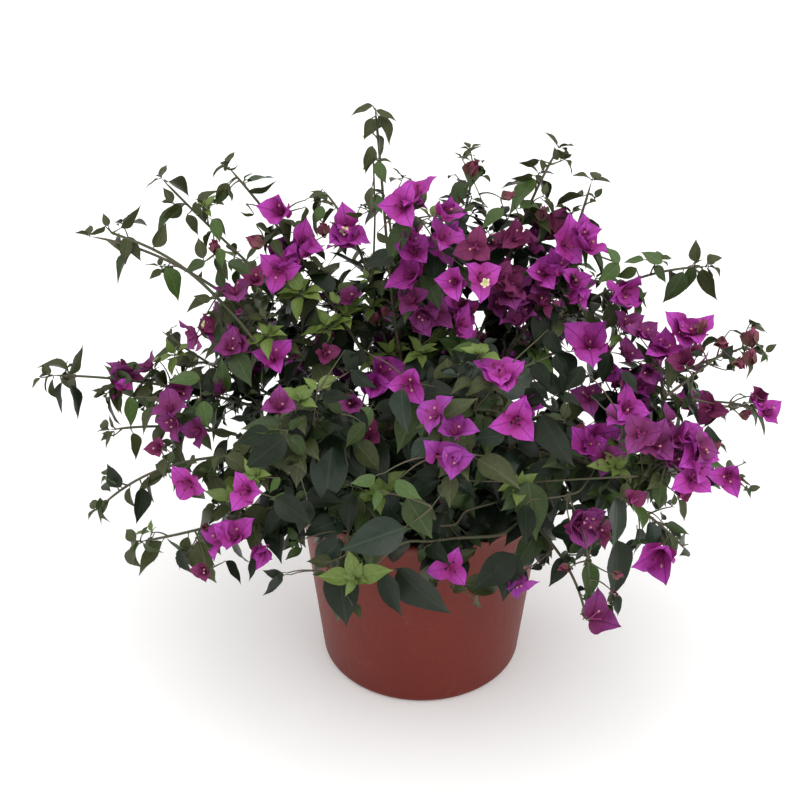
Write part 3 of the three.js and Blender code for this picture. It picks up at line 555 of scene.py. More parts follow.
OPEN = [
    # where the photograph shows sky or bare pot between the shoots: place and radius in pixels
    (140, 305, 38), (60, 312, 28), (332, 176, 16), (416, 150, 18), (635, 205, 32), (690, 215, 38),
    (730, 302, 26), (770, 380, 10), (742, 440, 14), (725, 525, 38), (705, 600, 48), (650, 605, 22),
    (560, 600, 18), (60, 450, 40), (112, 452, 14), (118, 520, 10), (172, 517, 20), (150, 612, 40),
    (215, 608, 26), (285, 606, 16), (95, 575, 26), (315, 165, 20), (495, 163, 12), (345, 270, 9),
    (480, 325, 11), (390, 225, 9), (205, 365, 9), (224, 441, 11), (601, 386, 9), (575, 405, 8),
    (560, 548, 8), (640, 522, 8), (640, 565, 8), (475, 640, 30), (380, 650, 30), (510, 622, 18),
    (243, 195, 9), (190, 225, 6), (185, 290, 8), (660, 300, 8), (760, 470, 14), (120, 345, 12),
    (462, 298, 7), (640, 640, 30), (160, 575, 12), (250, 610, 20), (430, 640, 20), (530, 640, 20),
    (724, 386, 13), (746, 384, 8), (704, 352, 8), (735, 425, 14), (675, 395, 7), (590, 378, 7),
    (387, 226, 12), (365, 232, 9), (355, 190, 14), (398, 195, 12), (88, 256, 16), (108, 250, 8),
    (454, 600, 12), (503, 604, 13), (362, 600, 6), (320, 592, 6), (405, 608, 7), (470, 560, 6),
    (325, 645, 16), (480, 190, 7), (455, 165, 9), (580, 634, 14), (570, 613, 10), (487, 612, 10),
    (440, 593, 9), (594, 637, 9), (301, 578, 13), (308, 598, 9), (364, 606, 8), (199, 448, 8),
    (545, 575, 9), (577, 577, 9), (672, 518, 9), (208, 528, 8), (240, 222, 8), (450, 184, 8),
    (482, 320, 12), (703, 380, 7), (383, 238, 9), (371, 246, 7), (385, 205, 9), (388, 120, 6),
    (237, 176, 8), (355, 220, 8), (400, 232, 8), (594, 570, 9), (462, 216, 7),
]
SHOWN_TWIGS = [
    # twigs that show bare in the photograph: their course in pixels and radius in millimetres
    ([(501, 536), (455, 538), (425, 543), (411, 539), (394, 547), (375, 566)], 1.5),
    ([(496, 502), (464, 511), (457, 525), (440, 526)], 1.3),
    ([(640, 476), (583, 479), (530, 482), (472, 481), (446, 478)], 0.9),
    ([(580, 492), (560, 497), (535, 499)], 1.0),
    ([(508, 461), (484, 456), (460, 452)], 1.0),
    ([(586, 540), (588, 562), (592, 598)], 0.7),
    ([(488, 222), (481, 198), (473, 180)], 0.8),
    ([(439, 249), (428, 230), (419, 218)], 0.9),
    ([(671, 393), (660, 380), (659, 371), (673, 361)], 0.7),
    ([(664, 398), (690, 378), (708, 364), (724, 352)], 1.6),
    ([(262, 352), (240, 322), (214, 294), (190, 272), (165, 255), (140, 243), (112, 233)], 1.8),
    ([(690, 398), (715, 404), (738, 408), (748, 402)], 0.8),
    ([(352, 545), (345, 556), (325, 564)], 1.1),
    ([(372, 282), (374, 250), (375, 215), (374, 180), (373, 150)], 1.2),
]
SHOWN_LEAVES = {
    # leaves that stand out in the photograph: foot and tip in pixels, how much of the face shows
    "deep_leaves": [
        (338, 566, 347, 628, 1), (385, 572, 398, 617, 0.8), (399, 568, 443, 625, 0.8),
        (515, 556, 473, 589, 1), (512, 553, 503, 601, 1), (525, 505, 528, 545, 0.8),
        (326, 333, 309, 377, 0.7), (307, 500, 299, 535, 1), (269, 430, 237, 444, 1),
        (285, 437, 243, 470, 1), (275, 498, 312, 525, 1), (616, 540, 623, 601, 0.72),
        (585, 545, 576, 563, 0.6), (71, 385, 82, 418, 0.5), (62, 382, 59, 414, 0.35),
        (397, 255, 360, 262, 0.8), (226, 561, 245, 581, 0.6), (542, 415, 568, 470, 0.8),
        (610, 352, 600, 384, 0.9), (565, 352, 575, 385, 0.8), (622, 372, 640, 392, 0.7),
        (548, 330, 560, 362, 0.8), (590, 395, 612, 399, 0.6), (558, 394, 584, 402, 0.6),
        (345, 350, 360, 378, 0.8), (352, 370, 374, 392, 0.8), (364, 350, 346, 374, 0.8),
        (534, 362, 551, 390, 0.9), (548, 372, 562, 404, 0.8), (526, 388, 546, 412, 0.8),
        (568, 372, 556, 400, 0.7), (345, 330, 330, 358, 0.7), (560, 420, 548, 446, 0.8),
        (582, 366, 568, 394, 0.9), (556, 354, 567, 380, 0.9), (530, 383, 553, 398, 0.7),
        (251, 558, 255, 581, 0.6), (280, 573, 269, 600, 0.6), (284, 575, 262, 573, 0.8),
        (180, 550, 187, 577, 0.7), (142, 488, 141, 524, 0.8), (121, 487, 104, 465, 0.9),
    ],
    "sheen_leaves": [
        (404, 528, 341, 550, 1), (331, 445, 325, 511, 1), (402, 389, 400, 435, 0.8),
        (428, 438, 410, 461, 1), (505, 435, 472, 439, 1), (616, 497, 618, 548, 0.6),
    ],
    "mid_leaves": [
        (407, 498, 433, 540, 1), (494, 463, 473, 485, 0.9), (365, 424, 344, 446, 0.9),
        (518, 487, 499, 498, 0.8), (528, 482, 536, 540, 1), (522, 490, 503, 513, 0.9),
        (661, 482, 657, 509, 0.9), (302, 549, 284, 558, 0.8), (187, 549, 165, 541, 0.3),
        (143, 543, 162, 555, 0.4), (142, 535, 148, 525, 0.6), (136, 541, 134, 554, 0.5),
        (100, 498, 97, 512, 0.6), (117, 485, 103, 480, 0.8), (172, 453, 169, 466, 1),
        (132, 380, 103, 368, 0.7), (140, 368, 117, 365, 0.7), (256, 224, 272, 233, 0.6),
        (225, 190, 218, 206, 0.8), (183, 205, 149, 232, 0.4), (205, 262, 183, 270, 0.8),
        (229, 263, 253, 272, 0.8), (654, 266, 669, 281, 0.8), (683, 272, 666, 305, 0.9),
        (695, 268, 683, 289, 0.9), (635, 293, 649, 308, 0.3), (475, 206, 461, 210, 0.7),
        (465, 205, 455, 192, 0.4),
    ],
    "green_leaves": [
        (396, 480, 420, 502, 0.9), (375, 476, 351, 487, 0.9), (377, 490, 377, 511, 0.8),
        (280, 478, 268, 492, 0.8), (619, 264, 599, 283, 1), (619, 263, 607, 246, 0.8),
        (636, 268, 617, 280, 0.9), (644, 260, 623, 259, 0.6), (662, 263, 642, 250, 0.9),
        (536, 180, 504, 211, 0.6), (504, 209, 479, 227, 0.7), (203, 401, 208, 428, 1),
        (200, 378, 168, 380, 0.8), (129, 397, 134, 427, 0.8), (378, 161, 383, 185, 0.9),
        (376, 194, 380, 215, 0.9), (213, 219, 222, 242, 0.9), (218, 248, 224, 268, 0.9),
        (322, 206, 316, 224, 1), (295, 249, 325, 249, 0.6), (166, 268, 185, 299, 0.8),
    ],
    "olive_leaves": [
        (373, 106, 350, 113, 0.5), (376, 111, 398, 118, 0.5), (372, 118, 365, 140, 0.9),
        (379, 135, 384, 159, 0.4), (372, 146, 366, 171, 0.8), (372, 187, 365, 215, 0.5),
        (377, 161, 394, 159, 0.3), (377, 233, 395, 248, 0.6), (108, 226, 103, 213, 1),
        (105, 226, 89, 237, 0.5), (121, 228, 143, 208, 0.5), (129, 237, 122, 264, 0.8),
        (130, 237, 137, 263, 0.8), (154, 247, 168, 224, 0.9), (162, 270, 148, 278, 0.8),
        (211, 299, 193, 297, 0.9), (182, 207, 163, 220, 0.9), (195, 202, 201, 220, 0.8),
        (187, 215, 200, 234, 0.8), (228, 190, 235, 201, 0.6), (225, 171, 226, 162, 0.8),
        (228, 170, 240, 167, 0.3), (228, 183, 216, 205, 0.9), (248, 191, 279, 188, 0.35),
        (254, 214, 239, 215, 0.4), (306, 207, 304, 226, 0.5), (309, 198, 325, 190, 0.4),
        (321, 201, 336, 205, 0.4), (363, 214, 344, 215, 0.5), (40, 378, 30, 387, 0.5),
        (49, 375, 45, 363, 1), (70, 374, 86, 347, 0.5), (114, 431, 102, 447, 0.4),
        (115, 428, 108, 415, 0.4), (133, 433, 140, 459, 0.7), (214, 430, 236, 436, 0.7),
        (533, 175, 511, 181, 0.5), (539, 160, 519, 168, 0.6), (541, 160, 545, 172, 0.8),
        (558, 160, 553, 147, 0.9), (702, 269, 714, 301, 0.8), (696, 262, 694, 239, 0.9),
        (708, 260, 723, 256, 0.9),
    ],
}


def draws_from(seed):
    """A function that draws between two ends. It is made with whole numbers, so that each cane
    always grows the same way."""
    def draw(low=0, high=1):
        nonlocal seed
        seed = seed * 48271 % 2147483647
        return low + (high - low) * (seed / 2147483647)
    return draw


def between(ends, share):
    return ends[0] + (ends[1] - ends[0]) * share


def sideways(direction, turn):
    """A direction square to this one, at that turn round it."""
    reference = UP if abs(direction[2]) < 0.9 else np.array([1.0, 0, 0])
    across = unit(np.cross(direction, reference))
    return across * math.cos(turn) + np.cross(across, direction) * math.sin(turn)


stems = []
for cane in CANES:
    points = bezier(cane_corners(cane), np.linspace(cane["bare"], 1, STEM_STEPS))
    steps = np.linalg.norm(np.diff(points, axis=0), axis=1)
    stems.append(dict(cane=cane, points=points, gone=np.append(0, np.cumsum(steps)),
                      length=steps.sum(), line=points[::4]))


def on_stem(stem, share):
    """A point on the stem and its direction there, at that share of its length."""
    gone = share * stem["length"]
    step = min(np.searchsorted(stem["gone"], gone, side="right") - 1, len(stem["points"]) - 2)
    a, b = stem["points"][step:step + 2]
    part = (gone - stem["gone"][step]) / (stem["gone"][step + 1] - stem["gone"][step])
    return a + (b - a) * part, unit(b - a)


def distance_to(line, point):
    a, b = line[:-1], line[1:]
    part = np.clip(((point - a) * (b - a)).sum(1) / ((b - a) ** 2).sum(1), 0, 1)
    return np.linalg.norm(a + (b - a) * part[:, None] - point, axis=1).min()


def clear_of_pot(point, room=3):
    return point[2] > POT_HEIGHT + room or math.hypot(point[0], point[1]) > (
        pot_radius(point[2]) + RIM_OVERHANG + room)


def fits(*points):
    """True if the points are in the solids' box and outside the pot."""
    return all(clear_of_pot(point, 1) for point in points) and all(
        cad_low[k] < point[k] * MM < cad_high[k] for point in points for k in range(3))


def in_own_space(stem, points):
    """True if each point is nearer to this stem than to any other, and outside the pot."""
    for point in points:
        own = distance_to(stem["line"], point)
        if not clear_of_pot(point) or any(
                distance_to(other["line"], point) <= own + SPACE_MARGIN
                for other in stems if other is not stem):
            return False
    return True


view_forward = np.array([0, math.cos(VIEW_DOWN), -math.sin(VIEW_DOWN)])
view_up = np.array([0, math.sin(VIEW_DOWN), math.cos(VIEW_DOWN)])
eye = np.array(camera.location) / MM


def seen_at(point):
    """Where a point shows in the photograph, in pixels, and how far from the eye it is."""
    gone = point - eye
    depth = gone @ view_forward
    return (FRAME_MIDDLE + FOCAL_LENGTH * gone[0] / depth,
            FRAME_MIDDLE - FOCAL_LENGTH * (gone @ view_up) / depth, depth)


def sight_to(px, py):
    """The direction from the eye to a pixel of the photograph."""
    return unit(view_forward + np.array([(px - FRAME_MIDDLE) / FOCAL_LENGTH, 0, 0])
                + view_up * (FRAME_MIDDLE - py) / FOCAL_LENGTH)


def is_open(point):
    """True if the photograph shows sky or bare pot there."""
    x, y, _ = seen_at(point)
    return any(math.hypot(x - px, y - py) < radius for px, py, radius in OPEN)


def short_of_sky(root, end):
    """The end of a twig, drawn back where it would cross an open place in the photograph."""
    for size in SKY_SIZES:
        if not is_open(root + (end - root) * size):
            break
    return root + (end - root) * size


def shows_no_flower(point):
    """True on the crown's near side, top and right, where the photograph has no bracts there."""
    x, y, _ = seen_at(point)
    in_sight = point[1] < FAR_SIDE or y < CROWN_TOP_PIXEL or x > RIGHT_SIDE_PIXEL
    return in_sight and all(
        math.hypot(x - px, y - py) > SHOWN_REACH
        for kind in SHOWN if kind.endswith("_bracts") for px, py, _ in SHOWN[kind])


twigs = []  # each with its stem, root, end, direction, turn, share of the stem, and what it bears
for number, stem in enumerate(stems):
    cane = stem["cane"]
    fine_count = round(stem["length"] / FINE_TWIG_EVERY)
    for is_fine, seed, count, lengths in (
            (False, FIRST_SEED, cane["twigs"], TWIG_LENGTHS),
            (True, FIRST_FINE_SEED, fine_count, FINE_TWIG_LENGTHS)):
        draw = draws_from(seed + SEED_STEP * number)
        for i in range(count):
            share = (i + draw(*TWIG_PLACES)) / count
            root, along = on_stem(stem, share)
            around = (i + 0.5 * is_fine) * GOLDEN_ANGLE + TWIG_TURN_RANGE * draw()
            way = unit(along * math.cos(TWIG_LEAN) + sideways(along, around) * math.sin(TWIG_LEAN)
                       + UP * TWIG_LIFT)
            blooms = draw() < cane["bloom"]
            longest = cane["spread"] * (1 - TWIG_SHRINK * share) * draw(*lengths)
            turn = draw() * math.pi
            if is_fine:
                end = short_of_sky(root, root + way * longest)
                has_room = share < cane["airy"] and in_own_space(stem, [end])
            else:
                for size in TWIG_SIZES:
                    end = root + way * longest * size * (TWIG_BLOOM_LENGTH if blooms else 1)
                    has_room = in_own_space(stem, [end, end + (root - end) * 0.4])
                    if has_room:
                        break
                if share > cane["airy"]:
                    end = root + (end - root) * AIRY_TWIG_SIZE
                end = short_of_sky(root, end)
            if has_room:
                bears = "fresh_bracts" if blooms and not shows_no_flower(end) else "leaves"
                twigs.append(dict(stem=stem, root=root, end=end, way=way, turn=turn, share=share,
                                  bears=bears, fine=is_fine))

# The flowering sprigs and young shoots that the photograph shows, each from the nearest stem.
places = [(stem, share, *on_stem(stem, share)) for stem in stems
          for share in np.linspace(0.02, 0.99, 60)]


def nearest_place(places, sight):
    """The place that a twig to that sight line grows from, and how far along the sight it is."""
    gone = np.array([place[2] for place in places]) - eye
    depths = gone @ sight
    aside = np.linalg.norm(gone - depths[:, None] * sight, axis=1)
    worth = depths + SPRIG_NEARNESS * aside + np.where(aside > SPRIG_REACH, TOO_FAR, 0)
    best = int(np.argmin(worth))
    return places[best], depths[best]


shown_paths, shown_radii = [], []
for course, radius in SHOWN_TWIGS:
    (stem, share, root, _), depth = nearest_place(places, sight_to(*course[0]))
    _, far_depth = nearest_place(places, sight_to(*course[-1]))
    for lift in LIFTS:
        corners = [root]
        for k, spot in enumerate(course):
            spot_depth = between((depth, far_depth), k / (len(course) - 1))
            corners.append(eye + sight_to(*spot) * (spot_depth - lift - SPRIG_LIFT))
        if fits(*corners):
            break
    corners = np.array(corners)
    gone = np.append(0, np.cumsum(np.linalg.norm(np.diff(corners, axis=0), axis=1)))
    along = np.linspace(0, gone[-1], SHOWN_STEPS)
    path = np.stack([np.interp(along, gone, corners[:, k]) for k in range(3)], axis=1)
    for _ in range(4):
        path[1:-1] = (path[:-2] + 2 * path[1:-1] + path[2:]) / 4
    shown_paths.append(path)
    shown_radii.append(radius * np.linspace(*SHOWN_TAPER, SHOWN_STEPS))
    places += [(stem, share, path[k], unit(path[k] - path[k - 1])) for k in (20, 26, 32)]

sprigs = []
for kind, rows in SHOWN.items():
    for px, py, width in rows:
        (stem, share, root, _), depth = nearest_place(places, sight_to(px, py))
        for lift in LIFTS[1:]:
            end = eye + sight_to(px, py + SPRIG_DROP * width) * (depth - SPRIG_LIFT - lift)
            if fits(end, end - np.array([0, width * SPRIG_ROOM, 0])):
                break
        sprigs.append(dict(
            stem=stem, root=root, end=end, way=unit(end - root + UP * SPRIG_RISE),
            turn=px % 7, share=share, bears=kind, fine=True, width=width, spot=(px, py)))

places += [(twig["stem"], twig["share"], twig["end"], twig["way"]) for twig in twigs + sprigs]
shown_leaves = []
for kind, rows in SHOWN_LEAVES.items():
    for px, py, tip_px, tip_py, face in rows:
        (stem, share, root, _), depth = nearest_place(places, sight_to(px, py))
        for lift in LIFTS:
            foot = eye + sight_to(px, py) * (depth - lift)
            tip = eye + sight_to(tip_px, tip_py) * (depth - lift)
            if fits(foot, tip):
                break
        shown_leaves.append((kind, root, foot, tip, face))
        sprigs.append(dict(stem=stem, root=root, end=root + (foot - root) * SHOWN_STALK_START,
                           way=unit(foot - root + UP), turn=px % 7, share=share,
                           bears="shown_leaf", fine=True))
twigs += sprigs


def straight(ends, shares):
    """Paths through these shares of the way from the first to the second of each pair of ends."""
    ends = np.array(ends)
    return ends[:, :1] + (ends[:, 1:] - ends[:, :1]) * np.asarray(shares)[:, None]


def joined(*shapes):
    """Several shapes as one."""
    firsts = np.cumsum([0] + [len(points) for points, _ in shapes])
    return (np.concatenate([points for points, _ in shapes]),
            np.concatenate([faces + first for (_, faces), first in zip(shapes, firsts)]))


stem_radii = np.array([cane_radius(stem["cane"], np.linspace(stem["cane"]["bare"], 1, STEM_STEPS))
                       for stem in stems])
stem_radii *= between((1, STEM_THINNING), np.minimum(np.linspace(0, 3, STEM_STEPS), 1))
stem_radii[:, -3:] *= np.array([0.8, 0.5, 0.1])
part = np.linspace(0, 1, 6)
twig_ends = np.array([(twig["root"], twig["end"]) for twig in twigs])
bows = np.linalg.norm(twig_ends[:, 1] - twig_ends[:, 0], axis=1)[:, None] * TWIG_BOW * (
    UP * 0.6 + np.array([sideways(twig["way"], twig["turn"] * 2) for twig in twigs]))
twig_paths = straight(twig_ends, part) + bows[:, None] * (4 * part * (1 - part))[:, None]
twig_radii = np.tile(between(TWIG_RADII, part), (len(twigs), 1))
twig_radii[:, 0] *= 1.3

# Green rind: smooth, slightly downy shoots that turn grey-brown with age.
shoot_rind, tree, shader = material("shoot_rind", Roughness=0.62, IOR=1.45)
place = add(tree, "TexCoord", output="Object")
age = add(tree, "TexNoise", {"Vector": place, "Scale": 60, "Detail": 4})
streak = add(tree, "TexNoise", {"Vector": place, "Scale": 900, "Detail": 3})
aged = add(tree, "MapRange", [age, 0.4, 0.6])
rind = add(tree, "Mix", {0: aged, 6: linear("4A5036"), 7: linear("584C3C")}, 2, data_type="RGBA")
relief = add(tree, "Bump", {"Height": streak, "Strength": 0.3, "Distance": 0.0004})
link(shader, Base_Color=rind, Normal=relief)

leafy_stems = mesh_piece("leafy_stems", joined(
    tubes(np.array([stem["points"] for stem in stems]), stem_radii, 8),
    tubes(twig_paths, twig_radii, 6),
    tubes(np.array(shown_paths), np.array(shown_radii), 6)), shoot_rind)
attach(leafy_stems, "root")
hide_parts(*["mass_" + cane["name"] for cane in CANES])

# Leaves: ovate blades with a drawn-out tip, 3 to 6 cm long, folded a little along the midrib and
# hanging by their own weight. They stand by turns along stems and twigs, each on a short stalk.
LEAF_LENGTH = 48
LEAF_SHRINK = (1.1, 0.72)
LEAF_SIZES = (0.62, 1.15)
LEAF_EVENNESS = 0.5
LEAF_EVERY = 11
LEAF_ALONG = 0.45
LEAF_OUT = 0.85
LEAF_TILT = 0.4
LEAF_OUTWARD = 0.8
LEAF_DROOPS = (0.25, 0.95)
LEAF_BENDS = (0.15, 1.1)
LEAF_FOLDS = (0.15, 0.55)
LEAF_TURN_RANGE = 0.9
LEAF_NEAR_TIP = 0.85
LEAF_STALK = 7
LEAF_HALF_WIDTH = 0.29
LEAF_WAVE = 0.12
FINE_TWIG_LEAF = 0.85
TWIG_LEAF_TURN_RANGE = 0.6
TIP_LEAF = 0.42
TIP_LEAF_TURNS = (0.4, 2.4, 4.4)
ROSETTE_LEAVES = 4
ROSETTE_SIZES = (0.3, 0.55)
YOUNG_ROSETTES = 0.08
SHOOT_LEAVES = 8
SHOOT_SIZES = (0.72, 0.25)
SHOOT_DROOPS = (0.35, -0.8)
AIRY_FOLDS = (0.3, 0.8)
AIRY_DROOP = 0.55
AIRY_LEAF_LENGTH = 44
AIRY_LEAD = 0.15
INNER_END = 0.45
DOME_LEAF = 1.1
SPRIG_CLEARANCE = 0.55
SHOWN_LEAF_ROOM = 0.5
SHOWN_TWIG_ROOM = 9
SHOWN_LEAF_LENGTH = 1.04
SHOWN_BENDS = (0.2, 0.7)
SHOWN_FOLDS = (0.1, 0.35)
CROWN_CENTRE = np.array([0.0, 0.0, 250.0])
FULL_TURN = 6.28
LEAF_KINDS = {
    # colour of the blade and of its veins, roughness, and specular level
    "deep_leaves": ("182214", "28341F", 0.42, 0.3),
    "sheen_leaves": ("223024", "394A37", 0.36, 0.42),
    "mid_leaves": ("32421F", "4C5C32", 0.42, 0.35),
    "green_leaves": ("465E2C", "5E7640", 0.44, 0.45),
    "olive_leaves": ("3F4526", "565E3C", 0.5, 0.35),
    "bright_leaves": ("667A38", "7E944E", 0.46, 0.45),
}
# The kinds take the draws from 0 to 1 in turn, each up to its number.
# Inside the crown most leaves take the darkest kind: partly the darker green of shade leaves,
# partly painted shade for the dim core of the crown.
INNER_SHADE_SHARES = (0.8, 0.84, 0.86, 0.94, 1)
DOME_SHARES = (0.54, 0.66, 0.86, 0.94, 1)
OUTER_SHARES = (0.36, 0.44, 0.86, 0.94, 1)
AIRY_OLIVE_SHARE = 0.75

# A blade is a grid of these rows and columns. All blades share one spot of the map that the
# export bakes, so that each carries the pattern.
BLADE_ROWS = np.array([0, 0.05, 0.12, 0.2, 0.3, 0.42, 0.55, 0.68, 0.8, 0.9, 1])
BLADE_COLUMNS = np.array([-1, -0.5, 0, 0.5, 1])
LEAF_OUTLINE = np.array([0.05, 0.42, 0.72, 0.91, 1.0, 0.97, 0.82, 0.58, 0.32, 0.13, 0.01])
MAP_CORNER = 0.02
MAP_HALF_WIDTH = 0.17
MAP_LENGTH = 0.6


def blades(rows, outline, half_width, wave):
    """The shape of blades. rows: root, axis, across, length, bend, phase of its wave and fold."""
    root, axis, across, length, bend, phase, fold = (
        np.array(column).reshape(len(rows), 1, 1, -1) for column in zip(*rows))
    t = BLADE_ROWS[None, :, None, None]
    x = BLADE_COLUMNS[None, None, :, None]
    width = outline[None, :, None, None] * half_width
    above = np.cross(axis, across)
    angle = bend * t
    normal = above * np.cos(angle) + axis * np.sin(angle)
    spine = axis * np.sin(angle) / bend - above * (1 - np.cos(angle)) / bend
    lift = np.abs(x) * width * np.sin(fold) + wave * x * x * np.sin(9 * t + phase) * width
    points = root + length * (spine + across * x * width * np.cos(fold) + normal * lift)
    wide, long = len(BLADE_COLUMNS), len(BLADE_ROWS)
    row, column = np.meshgrid(np.arange(long - 1), np.arange(wide - 1), indexing="ij")
    corner = row * wide + column
    quads = np.stack([corner, corner + 1, corner + wide + 1, corner + wide], axis=-1).reshape(-1, 4)
    all_quads = quads + (np.arange(len(rows)) * wide * long)[:, None, None]
    flat = np.stack(np.broadcast_arrays(
        MAP_CORNER + MAP_HALF_WIDTH * (1 + BLADE_COLUMNS * outline[:, None]),
        MAP_CORNER + MAP_LENGTH * BLADE_ROWS[:, None]), axis=-1).reshape(-1, 2)
    return (points.reshape(-1, 3), all_quads.reshape(-1, 4),
            np.tile(flat[quads.ravel()], (len(rows), 1)))


# where each shown part is seen, how far from the eye, and how much room it keeps free of leaves
kept_clear = np.array(
    [[*seen_at(sprig["end"]), SPRIG_CLEARANCE * sprig["width"]]
     for sprig in sprigs if "width" in sprig]
    + [[*seen_at((foot + tip) / 2), SHOWN_LEAF_ROOM * np.linalg.norm(tip - foot)]
       for _, _, foot, tip, _ in shown_leaves]
    + [[*seen_at(point), SHOWN_TWIG_ROOM] for path in shown_paths for point in path[8::2]])


def hides_shown(point):
    """True if a leaf there stands in front of a part that the photograph shows."""
    x, y, depth = seen_at(point)
    aside = np.hypot(kept_clear[:, 0] - x, kept_clear[:, 1] - y)
    return bool(np.any((aside < kept_clear[:, 3]) & (depth < kept_clear[:, 2] + 4)))


def dealt(kinds, shares, roll):
    return list(kinds)[int(np.searchsorted(shares, roll, side="right"))]


def kind_at(cane, share, draw):
    """The kind of the next leaf: dark inside the crown, partly as painted shade, and on full-grown
    domes, olive at tips.
    """
    roll = draw()
    if share > cane["airy"] - AIRY_LEAD:
        return "olive_leaves" if roll < AIRY_OLIVE_SHARE else "mid_leaves"
    return dealt(LEAF_KINDS, INNER_SHADE_SHARES if share < INNER_END else
                 DOME_SHARES if cane["leaf"] > DOME_LEAF else OUTER_SHARES, roll)


leaves = {kind: [] for kind in LEAF_KINDS}
stalks = []


def put_leaf(kind, root, along, turn, length, droop, draw, folds=LEAF_FOLDS, may_hide=False):
    """Puts a leaf on its stalk, its face up and out of the crown, if the photograph lets it."""
    side = sideways(along, turn)
    axis = unit(along * LEAF_ALONG + side * LEAF_OUT - UP * droop)
    outward = unit(root - CROWN_CENTRE)
    face = UP + along * LEAF_ALONG + side * LEAF_TILT + outward * LEAF_OUTWARD
    across = unit(np.cross(face, axis))
    start = root + axis * LEAF_STALK * length / LEAF_LENGTH
    bend = draw(*LEAF_BENDS)
    phase = draw() * FULL_TURN
    middle = start + axis * length * 0.5
    if (is_open(middle) or is_open(start + axis * length * LEAF_NEAR_TIP)
            or not may_hide and hides_shown(middle)):
        return
    if fits(start + axis * length, middle - UP * length * 0.2):
        leaves[kind].append((start, axis, across, length, bend, phase, draw(*folds)))
        stalks.append((root, start))


for number, stem in enumerate(stems):
    cane = stem["cane"]
    draw = draws_from(FIRST_FINE_SEED + 31 + SEED_STEP * number)
    leaf_length = LEAF_LENGTH * cane["leaf"] ** LEAF_EVENNESS
    count = round(stem["length"] / LEAF_EVERY)
    for k in range(count):
        share = (k + 0.6) / count
        is_airy = share > cane["airy"]
        root, along = on_stem(stem, share)
        size = leaf_length * between(LEAF_SHRINK, share) * draw(*LEAF_SIZES)
        droop = draw(*LEAF_DROOPS) + (AIRY_DROOP if is_airy else 0)
        turn = k * (GOLDEN_ANGLE if is_airy else math.pi) + LEAF_TURN_RANGE * draw()
        if is_airy:
            size = AIRY_LEAF_LENGTH * cane["leaf"] * draw(*LEAF_SIZES)
        if not is_airy or k % 2:
            put_leaf(kind_at(cane, share, draw), root, along, turn, size, droop, draw,
                     AIRY_FOLDS if is_airy else LEAF_FOLDS)
    root, along = on_stem(stem, 1)
    for turn in TIP_LEAF_TURNS:
        put_leaf("olive_leaves" if cane["airy"] < 1 else "mid_leaves", root, along, turn,
                 leaf_length * TIP_LEAF, 0.1, draw)
    for twig in (twig for twig in twigs if twig["stem"] is stem and twig["bears"] != "shown_leaf"):
        root, end, way, share = twig["root"], twig["end"], twig["way"], twig["share"]
        size = leaf_length * between(LEAF_SHRINK, share) * (FINE_TWIG_LEAF if twig["fine"] else 1)
        count = round(np.linalg.norm(end - root) / LEAF_EVERY)
        for k in range(count):
            put_leaf(kind_at(cane, share, draw), root + (end - root) * (k + 0.7) / count, way,
                     twig["turn"] + k * math.pi + TWIG_LEAF_TURN_RANGE * draw(),
                     size * draw(*LEAF_SIZES), draw(*LEAF_DROOPS), draw)
        if twig["bears"] == "bright_leaves":
            for k in range(SHOOT_LEAVES):
                part = k / (SHOOT_LEAVES - 1)
                length = twig["width"] * between(SHOOT_SIZES, part)
                put_leaf("bright_leaves", end, unit(way + UP * 0.5), k * GOLDEN_ANGLE,
                         length * draw(*LEAF_SIZES), between(SHOOT_DROOPS, part),
                         draw, may_hide=True)
        if twig["bears"] == "leaves":
            is_young = draw() < YOUNG_ROSETTES
            for k in range(ROSETTE_LEAVES):
                put_leaf("bright_leaves" if is_young else kind_at(cane, share, draw), end, way,
                         k * GOLDEN_ANGLE, size * draw(*ROSETTE_SIZES), 0.1, draw)

# The leaves that stand out in the photograph turn the same face to its eye.
draw = draws_from(FIRST_FINE_SEED)
for kind, root, foot, tip, face in shown_leaves:
    axis, length = unit(tip - foot), np.linalg.norm(tip - foot)
    flat = unit(np.cross(axis, foot - eye))
    roll = math.acos(face) * (1 if draw() < 0.5 else -1)
    across = flat * math.cos(roll) + np.cross(axis, flat) * math.sin(roll)
    leaves[kind].append((
        foot, axis, across, length * SHOWN_LEAF_LENGTH, draw(*SHOWN_BENDS),
        draw() * FULL_TURN, draw(*SHOWN_FOLDS)))
    stalks.append((root + (foot - root) * SHOWN_STALK_START, foot))


